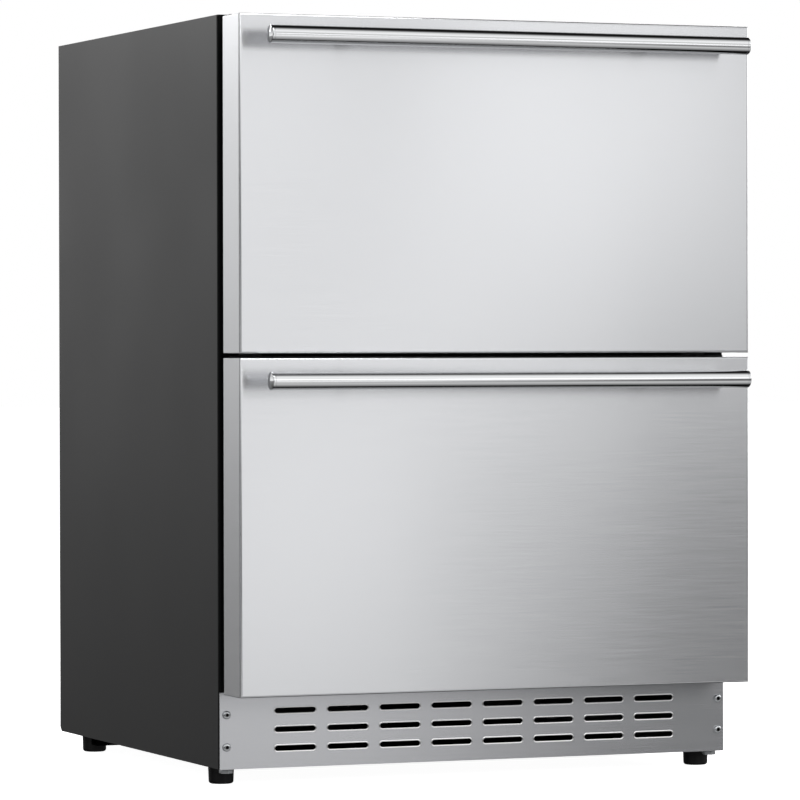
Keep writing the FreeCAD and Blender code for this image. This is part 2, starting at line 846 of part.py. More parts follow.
def interior_lamp():
    y0 = y_cabinet + mullion_depth - control_setback + control_depth + lamp_gap
    return block(-lamp_width / 2, lamp_width / 2, y0, y0 + lamp_depth, cavity_top - lamp_height, cavity_top)


# Telescopic slides, drawn on the right and mirrored
middle_half = rail_height / 2 - rail_sheet - ball_race
drawer_half = middle_half - rail_sheet - ball_race
middle_web = cavity_half - rail_sheet - web_gap


def channel(web_x0, web_x1, flange_x0, flange_x1, half, z):
    web = block(web_x0, web_x1, rail_front, rail_back, z - half, z + half)
    top = block(flange_x0, flange_x1, rail_front, rail_back, z + half - rail_sheet, z + half)
    bottom = block(flange_x0, flange_x1, rail_front, rail_back, z - half, z - half + rail_sheet)
    return fuse([web, top, bottom])


def cabinet_rail(drawer):
    reach = rail_inner + 2 * rail_sheet
    return channel(cavity_half - rail_sheet, cavity_half, reach, cavity_half, rail_height / 2, drawer.rail_z)


def cabinet_rails():
    rails = [cabinet_rail(upper), cabinet_rail(lower)]
    return group(rails + [mirrored(rail) for rail in rails])


def middle_rail(drawer):
    reach = rail_inner + rail_sheet
    return channel(middle_web - rail_sheet, middle_web, reach, middle_web, middle_half, drawer.rail_z)


def retainers(drawer):
    x0 = rail_inner + 2 * rail_sheet
    x1 = middle_web - rail_sheet - race_clearance
    strip = ball_race - race_clearance
    strips = []
    for low in (middle_half, -middle_half - strip, drawer_half + race_clearance, -middle_half + rail_sheet):
        z = drawer.rail_z + low
        strips.append(block(x0, x1, rail_front, rail_back, z, z + strip))
    return strips


def middle_rails(drawer):
    pieces = [middle_rail(drawer)] + retainers(drawer)
    return group(pieces + [mirrored(piece) for piece in pieces])


def drawer_rails(drawer):
    reach = middle_web - rail_sheet - race_clearance
    rail = channel(rail_inner, rail_inner + rail_sheet, rail_inner, reach, drawer_half, drawer.rail_z)
    return both_sides(rail)


# Drawer fronts
def post_places():
    return spread(2, post_spacing)


def handle_screw_shank(drawer, x, size):
    z = drawer.handle_z
    return rod(size, point(x, y_face - handle_screw_reach, z), point(x, y_face + skin_sheet, z))


def handle_screw_pocket(drawer, x):
    y0 = y_face + skin_sheet
    return rod(handle_screw_head, point(x, y0, drawer.handle_z),
               point(x, y0 + handle_screw_head_height, drawer.handle_z))


def handle_screws(drawer):
    screws = []
    for x in post_places():
        shank = handle_screw_shank(drawer, x, handle_screw_diameter)
        screws.append(fuse([shank, handle_screw_pocket(drawer, x)]))
    return group(screws)


def front_skin(drawer):
    tray = block(-half_width, half_width, y_face, y_skin_rear, drawer.bottom, drawer.top)
    tray = tray.makeFillet(skin_bend, edges_where(tray, lambda p: near(p.y, y_face)))
    holes = front_hollow(drawer)
    for x in post_places():
        holes.append(handle_screw_shank(drawer, x, handle_screw_diameter + screw_clearance))
    return cut(tray, holes)


def front_hollow(drawer):
    wide = half_width - skin_sheet
    low = drawer.bottom + skin_sheet
    high = drawer.top - skin_sheet
    inside = block(-wide, wide, y_face + skin_sheet, y_skin_rear - skin_sheet, low, high)
    mouth = block(-wide + skin_lip, wide - skin_lip, y_face + skin_sheet, y_skin_rear,
                  low + skin_lip, high - skin_lip)
    return [inside, mouth]


def plug_block(drawer, inset, y0, y1):
    half = cavity_half - plug_margin - inset
    return block(-half, half, y0, y1, drawer.plug_low + inset, drawer.plug_high - inset)


def plug_hollow(drawer):
    return plug_block(drawer, panel_wall, y_skin_rear, y_plug - panel_wall)


def front_foam(drawer):
    core = fuse(front_hollow(drawer) + [plug_hollow(drawer)])
    return cut(core, [handle_screw_pocket(drawer, x) for x in post_places()])


def inner_panel(drawer):
    half = half_width - panel_edge_inset
    plate = block(-half, half, y_skin_rear, y_panel_rear, drawer.bottom + panel_edge_inset, drawer.top)
    tab_half = half_width - panel_tab_inset
    tab = block(-tab_half, tab_half, y_skin_rear, y_panel_rear, drawer.top, drawer.top + panel_tab_height)
    plug = plug_block(drawer, 0, y_skin_rear, y_plug)
    return cut(fuse([plate, tab, plug]), [plug_hollow(drawer)])


def seal_ring(drawer, inset, width, y0, y1):
    half = half_width - inset
    low = drawer.bottom + inset
    high = drawer.top - inset
    ring = block(-half, half, y0, y1, low, high)
    return cut(ring, [block(-half + width, half - width, y0, y1, low + width, high - width)])


def gasket(drawer):
    foot = seal_ring(drawer, gasket_inset, gasket_width, y_panel_rear, y_panel_rear + gasket_foot)
    bulb_inset = gasket_inset + (gasket_width - gasket_bulb_width) / 2
    bulb = seal_ring(drawer, bulb_inset, gasket_bulb_width, y_panel_rear, y_cabinet - gasket_clearance)
    return fuse([foot, bulb])


# Bar handles
def handle_solid(drawer, diameter, x0, x1):
    return rod(diameter, point(x0, y_handle, drawer.handle_z), point(x1, y_handle, drawer.handle_z))


def handle_bar(drawer):
    end = handle_length / 2 - handle_cap_thickness
    bore = handle_diameter - 2 * handle_wall
    return cut(handle_solid(drawer, handle_diameter, -end, end), [handle_solid(drawer, bore, -end, end)])


def handle_caps(drawer):
    seat = handle_length / 2 - handle_cap_thickness
    disc = handle_solid(drawer, handle_diameter, seat, handle_length / 2)
    disc = disc.makeFillet(handle_cap_edge, [e for e in disc.Edges if near(e.BoundBox.XMin, handle_length / 2)])
    plug_size = handle_diameter - 2 * handle_wall - 2 * cap_clearance
    plug = handle_solid(drawer, plug_size, seat - handle_cap_plug, seat)
    return both_sides(fuse([disc, plug]))


def handle_posts(drawer):
    z = drawer.handle_z
    bar = handle_solid(drawer, handle_diameter, -handle_length / 2, handle_length / 2)
    posts = []
    for x in post_places():
        post = rod(post_diameter, point(x, y_handle, z), point(x, y_face, z))
        posts.append(cut(post, [bar, handle_screw_shank(drawer, x, handle_screw_diameter)]))
    return group(posts)


# Drawer bins on their brackets
def bin_brackets(drawer):
    low = drawer.rail_z - bracket_skirt
    high = drawer.bin_top - bin_rim
    side = block(bracket_inner, rail_inner, y_plug, rail_back, low, high)
    tab = block(rail_inner - bracket_tab, rail_inner, y_plug, y_plug + bracket_sheet, low, high)
    return both_sides(fuse([side, tab]))


def rounded_block(half, y0, y1, z0, z1, corner):
    solid = block(-half, half, y0, y1, z0, z1)
    return solid.makeFillet(corner, [e for e in solid.Edges if near(e.BoundBox.ZLength, z1 - z0)])


def drawer_bin(drawer):
    low = drawer.bin_floor
    high = drawer.bin_top
    tub = rounded_block(bin_half, bin_front, drawer.bin_back, low, high, bin_corner)
    tub = tub.makeFillet(bin_floor_corner, [e for e in tub.Edges if near(e.BoundBox.ZMax, low)])
    rim_reach = rail_inner - bin_half
    rim = rounded_block(rail_inner, bin_front - bin_gap, drawer.bin_back + rim_reach, high - bin_rim, high,
                        bin_corner + rim_reach)
    hollow = rounded_block(bin_half - bin_wall, bin_front + bin_wall, drawer.bin_back - bin_wall,
                           low + bin_wall, high, bin_corner - bin_wall)
    return cut(fuse([tub, rim]), [hollow])


# Every piece by the name it is known by
pieces = {
    "left_side_panel": side_panel(),
    "right_side_panel": mirrored(side_panel()),
    "top_panel": top_panel(),
    "back_panel": back_panel(),
    "bay_panel": bay_panel(),
    "base_pan": base_pan(),
    "rear_cover": rear_cover(),
    "kick_plate": kick_plate(),
    "kick_plate_screws": kick_plate_screws(),
    "foot_nuts": foot_nuts(),
    "corner_bolts": corner_bolts(),
    "insulation_foam": insulation_foam(),
    "inner_liner": inner_liner(),
    "breaker_frame": breaker_frame(),
    "mullion": mullion(),
    "drain_tube": drain_tube(),
    "drain_tray": drain_tray(),
    "evaporator_coil": evaporator_coil(),
    "evaporator_cover": evaporator_cover(),
    "evaporator_fan_motor": evaporator_fan_motor(),
    "evaporator_fan": evaporator_fan(),
    "condenser_coil": condenser_coil(),
    "condenser_fan_shroud": condenser_fan_shroud(),
    "condenser_fan_motor": condenser_fan_motor(),
    "condenser_fan": condenser_fan(),
    "compressor": compressor(),
    "compressor_mounts": compressor_mounts(),
    "refrigerant_lines": refrigerant_lines(),
    "power_inlet": power_inlet(),
    "control_panel": control_panel(),
    "interior_lamp": interior_lamp(),
    "cabinet_rails": cabinet_rails(),
}

foot_names = ("left_front_foot", "left_rear_foot", "right_front_foot", "right_rear_foot")
for name, (x, y) in zip(foot_names, foot_places()):
    pieces[name] = group([foot_glide(x, y), foot_stud(x, y)])

drawer_pieces = {
    "middle_rails": middle_rails,
    "drawer_rails": drawer_rails,
    "front_skin": front_skin,
    "front_foam": front_foam,
    "inner_panel": inner_panel,
    "gasket": gasket,
    "handle_bar": handle_bar,
    "handle_caps": handle_caps,
    "handle_posts": handle_posts,
    "handle_screws": handle_screws,
    "bin_brackets": bin_brackets,
    "bin": drawer_bin,
}
for drawer in (upper, lower):
    for name, make in drawer_pieces.items():
        pieces[drawer.name + "_" + name] = make(drawer)

os.makedirs("parts", exist_ok=True)
for name, shape in pieces.items():
    shape.exportStep("parts/" + name + ".step")
print(len(pieces), "pieces")
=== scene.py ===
"""Studio scene of an undercounter freezer with two stainless drawers on slides.

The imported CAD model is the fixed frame: X runs across the front, Y to the back and Z up, in metres.
Each sub-assembly is a class that builds the pieces seen round that frame and dresses them.
"""

import logging
import math
from abc import ABC, abstractmethod
from collections.abc import Iterable, Mapping, Sequence
from dataclasses import dataclass
from enum import Enum

import bmesh
import bpy
from bmesh.types import BMEdge, BMFace, BMVert
from bpy.types import Node, NodeSocket, NodeTree
from mathutils import Matrix, Vector


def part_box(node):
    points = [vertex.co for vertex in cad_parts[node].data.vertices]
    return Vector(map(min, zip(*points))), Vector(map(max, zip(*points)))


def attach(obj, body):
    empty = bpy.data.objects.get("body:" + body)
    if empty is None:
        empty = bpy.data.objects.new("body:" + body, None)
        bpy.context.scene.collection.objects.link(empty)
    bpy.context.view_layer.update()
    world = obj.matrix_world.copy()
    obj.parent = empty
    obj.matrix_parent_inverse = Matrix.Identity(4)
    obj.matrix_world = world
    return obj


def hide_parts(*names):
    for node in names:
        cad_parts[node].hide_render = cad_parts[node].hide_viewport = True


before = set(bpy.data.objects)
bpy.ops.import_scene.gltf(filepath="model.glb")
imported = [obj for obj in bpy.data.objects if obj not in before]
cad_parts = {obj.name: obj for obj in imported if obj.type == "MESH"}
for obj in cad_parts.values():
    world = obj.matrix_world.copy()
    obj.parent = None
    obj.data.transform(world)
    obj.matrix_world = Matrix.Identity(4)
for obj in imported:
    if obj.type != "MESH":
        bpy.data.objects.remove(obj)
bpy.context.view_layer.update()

MM = 0.001
WELD = 0.005 * MM
FLAT_ANGLE = math.radians(1.0)
SHARP_ANGLE = math.radians(32.0)
EASED_ANGLE = math.radians(40.0)
CONCAVE_ANGLE = math.radians(-60.0)
# A direction runs along an axis where it has at least this share of it
LEVEL = 0.9
# Cloudy marks stay mostly between these values
MARKS_LOW = 0.3
MARKS_HIGH = 0.7
# Width of an eased edge on folded sheet in mm, and the facets across any eased edge
SHEET_EASE = 0.3
EASE_STEPS = 2
CABINET = "cabinet"
log = logging.getLogger("freezer")


def linear(tone: str) -> tuple[float, float, float, float]:
    """Turns an sRGB hex value into a linear colour.

    Args:
        tone: Colour such as "#808080".

    Returns:
        Red, green, blue and alpha, from 0 to 1.
    """
    shares = [int(tone[start:start + 2], 16) / 255 for start in (1, 3, 5)]
    red, green, blue = (s / 12.92 if s <= 0.04045 else ((s + 0.055) / 1.055) ** 2.4 for s in shares)
    return red, green, blue, 1.0


def add_node(tree: NodeTree, kind: str, inputs: Mapping[str | int, object] | None = None,
             **settings: object) -> Node:
    """Adds a node with its settings and links.

    Args:
        tree: Node tree that the node joins.
        kind: Blender's name of the node type.
        inputs: Value or linked socket for each input, by name or number.
        settings: Properties of the node itself.

    Returns:
        The new node.
    """
    node = tree.nodes.new(kind)
    for key, value in settings.items():
        setattr(node, key, value)
    for key, value in (inputs or {}).items():
        if isinstance(value, NodeSocket):
            tree.links.new(value, node.inputs[key])
        else:
            node.inputs[key].default_value = value
    return node


@dataclass(frozen=True)
class Marks:
    """Cloudy marks of a real size: their length along X, Y and Z in mm, and octaves of finer ones within."""

    x: float
    y: float
    z: float
    detail: float = 2.0

    def socket(self, tree: NodeTree) -> NodeSocket:
        """Adds the marks to a material.

        Args:
            tree: Node tree of the material.

        Returns:
            Socket whose value runs from 0 to 1 about a mean of 0.5.
        """
        place = add_node(tree, "ShaderNodeTexCoord").outputs["Object"]
        scale = [1 / (length * MM) for length in (self.x, self.y, self.z)]
        scaled = add_node(tree, "ShaderNodeMapping", {"Vector": place, "Scale": scale}).outputs[0]
        return add_node(tree, "ShaderNodeTexNoise",
                        {"Vector": scaled, "Scale": 1.0, "Detail": self.detail}).outputs[0]


@dataclass(frozen=True)
class Pattern:
    """What a finish's pattern drives: the tone and, where they aren't even, the gloss and the height."""

    tone: NodeSocket
    gloss: NodeSocket | None = None
    height: NodeSocket | None = None


@dataclass(frozen=True)
class Finish(ABC):
    """A real surface finish, made into one material when it is first used. Depth in mm."""

    name: str
    slot: str
    tone: str
    shade: str
    roughness: float
    metallic: float = 0.0
    shine: float = 0.5
    spread: float = 0.0
    depth: float = 0.0

    def material(self) -> bpy.types.Material:
        """Finds the finish's material, or makes it on first use.

        Returns:
            The material.
        """
        made = bpy.data.materials.get(self.name)
        if made is None:
            made = bpy.data.materials.new(self.name)
            made.use_nodes = True
            tree = made.node_tree
            tree.nodes.clear()
            shader = add_node(tree, "ShaderNodeBsdfPrincipled", self.sockets(tree) | self.pull())
            add_node(tree, "ShaderNodeOutputMaterial", {"Surface": shader.outputs[0]})
        return made

    def sockets(self, tree: NodeTree) -> dict[str, object]:
        """Lets the pattern mix the tones, shift the roughness by the spread and raise the skin by the depth.

        Args:
            tree: Node tree of the material.

        Returns:
            Value or linked socket for each input of the shader.
        """
        pattern = self.pattern(tree)
        # A Mix node has its colours in inputs 6 and 7 and in output 2.
        tones = {0: pattern.tone, 6: linear(self.shade), 7: linear(self.tone)}
        made = {"Base Color": add_node(tree, "ShaderNodeMix", tones, data_type="RGBA").outputs[2],
                "Roughness": self.roughness, "Metallic": self.metallic, "Specular IOR Level": self.shine}
        if pattern.gloss is not None:
            limits = {"Value": pattern.gloss, "From Min": MARKS_LOW, "From Max": MARKS_HIGH,
                      "To Min": self.roughness - self.spread, "To Max": self.roughness + self.spread}
            made["Roughness"] = add_node(tree, "ShaderNodeMapRange", limits).outputs[0]
        if pattern.height is not None:
            rise = {"Height": pattern.height, "Strength": 1.0, "Distance": self.depth * MM}
            made["Normal"] = add_node(tree, "ShaderNodeBump", rise).outputs["Normal"]
        return made

    def pull(self) -> dict[str, float]:
        """Lists the shader inputs of a grain that draws reflections out. Most finishes have none."""
        return {}

    @abstractmethod
    def pattern(self, tree: NodeTree) -> Pattern:
        """Makes the pattern that this finish shows the eye.

        Args:
            tree: Node tree of the material.

        Returns:
            The pattern.
        """


@dataclass(frozen=True)
class MarkedFinish(Finish):
    """A finish whose marks mix its tones, let its gloss waver and raise its grain.

    The tint marks serve for the gloss and the grain where these have no marks of their own.
    """

    tint: Marks = Marks(16.0, 16.0, 16.0, 3.0)
    gloss: Marks | None = None
    grain: Marks | None = None

    def pattern(self, tree: NodeTree) -> Pattern:
        """Makes the marks.

        Args:
            tree: Node tree of the material.

        Returns:
            Marks in the tone, the gloss and, where there is a depth, the height.
        """
        tone = self.tint.socket(tree)
        gloss = self.gloss.socket(tree) if self.gloss else tone
        if not self.depth:
            return Pattern(tone, gloss)
        return Pattern(tone, gloss, self.grain.socket(tree) if self.grain else tone)


@dataclass(frozen=True)
class BrushedSteel(MarkedFinish):
    """Stainless sheet with a long level belt grain, which draws every reflection out up and down."""

    metallic: float = 1.0
    spread: float = 0.015
    depth: float = 0.0006
    # The real grain is about 0.1 mm wide; it is drawn coarser so that it shows.
    tint: Marks = Marks(60.0, 60.0, 0.6, 4.0)
    drawn_out: float = 0.90
    # A quarter turn, which lays the pull across the grain
    pull_turn: float = 0.25

    def pull(self) -> dict[str, float]:
        """Lists the shader inputs that draw reflections out across the grain."""
        return {"Anisotropic": self.drawn_out, "Anisotropic Rotation": self.pull_turn}


@dataclass(frozen=True)
class PolishedSteel(MarkedFinish):
    """Bright to satin steel, drawn, turned or pressed, with faint level polishing lines."""

    metallic: float = 1.0
    spread: float = 0.03
    depth: float = 0.001
    tint: Marks = Marks(90.0, 0.8, 0.8, 3.0)


@dataclass(frozen=True)
class CoatedSteel(MarkedFinish):
    """Steel under a baked coat: a satin or matt skin with the fine stipple that powder leaves."""

    spread: float = 0.015
    depth: float = 0.012
    tint: Marks = Marks(0.7, 0.7, 0.7)
    gloss: Marks = Marks(180.0, 180.0, 180.0, 1.0)


@dataclass(frozen=True)
class PlatedSteel(MarkedFinish):
    """Zinc-plated pressings and screws: pale, bright metal with a faint cloudy bloom."""

    metallic: float = 1.0
    spread: float = 0.03


@dataclass(frozen=True)
class MouldedPlastic(MarkedFinish):
    """Moulded or vacuum-formed plastic: one even colour with the fine grain of its tool."""

    spread: float = 0.02
    depth: float = 0.01
    tint: Marks = Marks(140.0, 140.0, 140.0, 1.0)
    grain: Marks = Marks(0.8, 0.8, 0.8)


@dataclass(frozen=True)
class SoftRubber(MarkedFinish):
    """Extruded or moulded black elastomer: dull, with a slight patchy grey bloom."""

    spread: float = 0.08
    depth: float = 0.01
    tint: Marks = Marks(18.0, 18.0, 18.0, 3.0)
    grain: Marks = Marks(0.6, 0.6, 0.6)


@dataclass(frozen=True)
class FinStock(MarkedFinish):
    """Thin rolled aluminium fins on their tubes: pale, slightly dulled metal with rolling marks."""

    metallic: float = 1.0
    spread: float = 0.08
    tint: Marks = Marks(3.0, 3.0, 40.0, 3.0)


@dataclass(frozen=True)
class DrawnCopper(MarkedFinish):
    """Drawn copper tube: warm metal with patches of brown tarnish."""

    metallic: float = 1.0
    spread: float = 0.1
    tint: Marks = Marks(22.0, 22.0, 22.0, 4.0)


@dataclass(frozen=True)
class SpangledSteel(Finish):
    """Hot-dip galvanised sheet: flat grey zinc crystals, each with its own gloss. Sizes in mm."""

    metallic: float = 0.85
    spread: float = 0.03
    crystal: float = 14.0

    def pattern(self, tree: NodeTree) -> Pattern:
        """Breaks dull metal up into crystals.

        Args:
            tree: Node tree of the material.

        Returns:
            Crystals in the tone and the gloss.
        """
        place = add_node(tree, "ShaderNodeTexCoord").outputs["Object"]
        cells = add_node(tree, "ShaderNodeTexVoronoi", {"Vector": place, "Scale": 1 / (self.crystal * MM)})
        crystal = add_node(tree, "ShaderNodeSeparateColor", {0: cells.outputs["Color"]}).outputs
        return Pattern(crystal["Red"], crystal["Green"])


@dataclass(frozen=True)
class RigidFoam(Finish):
    """Blown polyurethane foam: a matt straw-coloured skin of small closed cells. Sizes in mm."""

    depth: float = 0.3
    cell: float = 1.6

    def pattern(self, tree: NodeTree) -> Pattern:
        """Makes matt cells with darker hollows.

        Args:
            tree: Node tree of the material.

        Returns:
            Cells in the tone and the height.
        """
        place = add_node(tree, "ShaderNodeTexCoord").outputs["Object"]
        cells = add_node(tree, "ShaderNodeTexVoronoi", {"Vector": place, "Scale": 1 / (self.cell * MM)})
        hollow = cells.outputs["Distance"]
        return Pattern(hollow, height=hollow)


@dataclass(frozen=True)
class FrostedLens(Finish):
    """Frosted acrylic lamp lens: milky white with fine prisms across it. Sizes in mm."""

    depth: float = 0.2
    prism: float = 2.0
    # A wave texture at a scale of 1 turns 20 radians in each unit.
    wave_turn: float = 20.0

    def pattern(self, tree: NodeTree) -> Pattern:
        """Makes milky plastic with a row of prisms.

        Args:
            tree: Node tree of the material.

        Returns:
            Prisms in the tone and the height.
        """
        place = add_node(tree, "ShaderNodeTexCoord").outputs["Object"]
        scale = (math.tau / (self.wave_turn * self.prism * MM), 0.0, 0.0)
        scaled = add_node(tree, "ShaderNodeMapping", {"Vector": place, "Scale": scale}).outputs[0]
        prisms = add_node(tree, "ShaderNodeTexWave", {"Vector": scaled, "Scale": 1.0}).outputs["Fac"]
        return Pattern(prisms, height=prisms)


# Finishes of this freezer, each named for the real surface
BELT_STEEL = BrushedSteel("belt_brushed_stainless", "brushed_stainless", "#E2E3E5", "#D8D9DC", 0.20)
# The kick plate's stainless is toned darker than that of the fronts, as painted shade of its recess under the
# lower front
KICK_STEEL_PAINTED_SHADE = BrushedSteel("brushed_stainless_kick_plate_painted_shade", "brushed_stainless", "#CDCED1", "#C7C8CB", 0.25,
                          drawn_out=0.75)
TUBE_STEEL = PolishedSteel("polished_stainless_tube", "polished_stainless", "#E8E9EA", "#DDDEE0", 0.09)
# Handle posts toned dark grey as painted shade: the dark stands for the shadow of each post on the front
# below its bar
POST_STEEL_PAINTED_SHADE = PolishedSteel("turned_satin_stainless_post_painted_shade", "polished_stainless", "#6C6E71", "#626467", 0.30)
# Slot rims toned near white, lighter than the plate, as a painted highlight along their pressed edges
RIM_STEEL_PAINTED_HIGHLIGHT = PolishedSteel("pressed_slot_rim_painted_highlight", "brushed_stainless", "#F4F4F4", "#EAEAEA", 0.22)
SCREW_STEEL = PolishedSteel("bright_plated_screw", "plated_steel", "#D6D8DA", "#C6C9CC", 0.16)
CHARCOAL_COAT = CoatedSteel("charcoal_powder_coat", "charcoal_paint", "#0F1012", "#0B0C0E", 0.36, shine=0.33)
BLACK_COAT = CoatedSteel("black_powder_coat", "black_paint", "#121314", "#0E0F10", 0.55, shine=0.2)
UNDER_COAT = CoatedSteel("matt_black_undercoat", "black_paint", "#0A0A0B", "#070708", 0.90, shine=0.0)
PUMP_COAT = CoatedSteel("matt_black_stove_paint", "black_paint", "#222325", "#1A1B1D", 0.85, shine=0.0)
# Matt black for the front flange and the front edges of the shell, partly painted shade of the gap behind the
# drawer fronts, and for the cups of painted shade in the screw sockets
SHADOW_COAT = CoatedSteel("matt_black_flange_and_painted_shade", "charcoal_paint", "#0B0B0C", "#080809", 0.62, shine=0.1)
ZINC_SHEET = SpangledSteel("galvanised_sheet", "galvanised_steel", "#BEC1C4", "#B2B5B9", 0.44)
ZINC_PLATE = PlatedSteel("zinc_plated_steel", "plated_steel", "#C6C9CB", "#B8BBBE", 0.34)
WHITE_LINER = MouldedPlastic("vacuum_formed_polystyrene", "white_liner", "#EEF0F1", "#E6E9EA", 0.32)
BLACK_ABS = MouldedPlastic("moulded_black_abs", "black_abs", "#1B1C1E", "#151618", 0.42)
BIN_PLASTIC = MouldedPlastic("moulded_frosted_bin_plastic", "bin_plastic", "#E3E8EC", "#DDE3E8", 0.26)
FOOT_NYLON = MouldedPlastic("moulded_black_nylon", "black_nylon", "#0D0D0E", "#0A0A0B", 0.45, shine=0.25)
TOUCH_GLASS = MouldedPlastic("black_touch_glass", "black_abs", "#0C0D0F", "#08090A", 0.12, depth=0.0)
KEY_PRINT = MouldedPlastic("printed_key_ring", "black_abs", "#AEB4BA", "#A2A8AE", 0.45)
SEAL_RUBBER = SoftRubber("extruded_gasket_rubber", "black_rubber", "#1A1A1B", "#121213", 0.65)
FINS = FinStock("rolled_aluminium_fins", "fin_aluminium", "#D0D3D5", "#BCC0C3", 0.34)
COPPER = DrawnCopper("drawn_copper_tube", "copper", "#C9825A", "#7A4A33", 0.34)
FOAM = RigidFoam("blown_polyurethane_foam", "polyurethane_foam", "#E2CF94", "#C9B478", 0.9)
LENS = FrostedLens("frosted_acrylic_lens", "lamp_lens", "#F4F6F8", "#DDE2E6", 0.35)


class Axis(Enum):
    """A direction of the frame, with the first direction across it."""

    X = (Vector((1, 0, 0)), Vector((0, 0, 1)))
    Y = (Vector((0, 1, 0)), Vector((0, 0, 1)))
    Z = (Vector((0, 0, 1)), Vector((1, 0, 0)))

    @property
    def along(self) -> Vector:
        """The direction itself."""
        return self.value[0]


class Facing(Enum):
    """The way that a plaque or a screw faces, as the turn that takes a plaque there from facing up."""

    FRONT = Matrix.Rotation(math.pi / 2, 4, "X")
    BACK = Matrix.Rotation(math.pi, 4, "Z") @ Matrix.Rotation(math.pi / 2, 4, "X")

    @property
    def away(self) -> float:
        """1 where Y runs the way that it faces, and -1 where Y runs the other way."""
        return 1.0 if self is Facing.BACK else -1.0


class Tier(Enum):
    """The two drawers."""

    UPPER = "upper"
    LOWER = "lower"

    def node(self, part: str) -> str:
        """Name of this drawer's CAD node for a part."""
        return f"{self.value}_{part}"

    @property
    def body(self) -> str:
        """Name of the CAD body that moves as this drawer."""
        return f"{self.value}_drawer"


class Corner(Enum):
    """The four corners of the base, each with a foot."""

    LEFT_FRONT = "left_front"
    LEFT_REAR = "left_rear"
    RIGHT_FRONT = "right_front"
    RIGHT_REAR = "right_rear"

    @property
    def foot(self) -> str:
        """Name of the foot's CAD node, and of its body."""
        return f"{self.value}_foot"


def quarter_turn(steps: int) -> list[float]:
    """Lists the angles from 0 to 90 degrees in equal steps, in radians."""
    return [math.pi / 2 * step / steps for step in range(steps + 1)]


def low_end(low: Vector, high: Vector, axis: Axis) -> Vector:
    """Finds the middle of the side where a box starts along an axis."""
    spans = zip(low, high, axis.along)
    return Vector([start if chosen else (start + end) / 2 for start, end, chosen in spans])


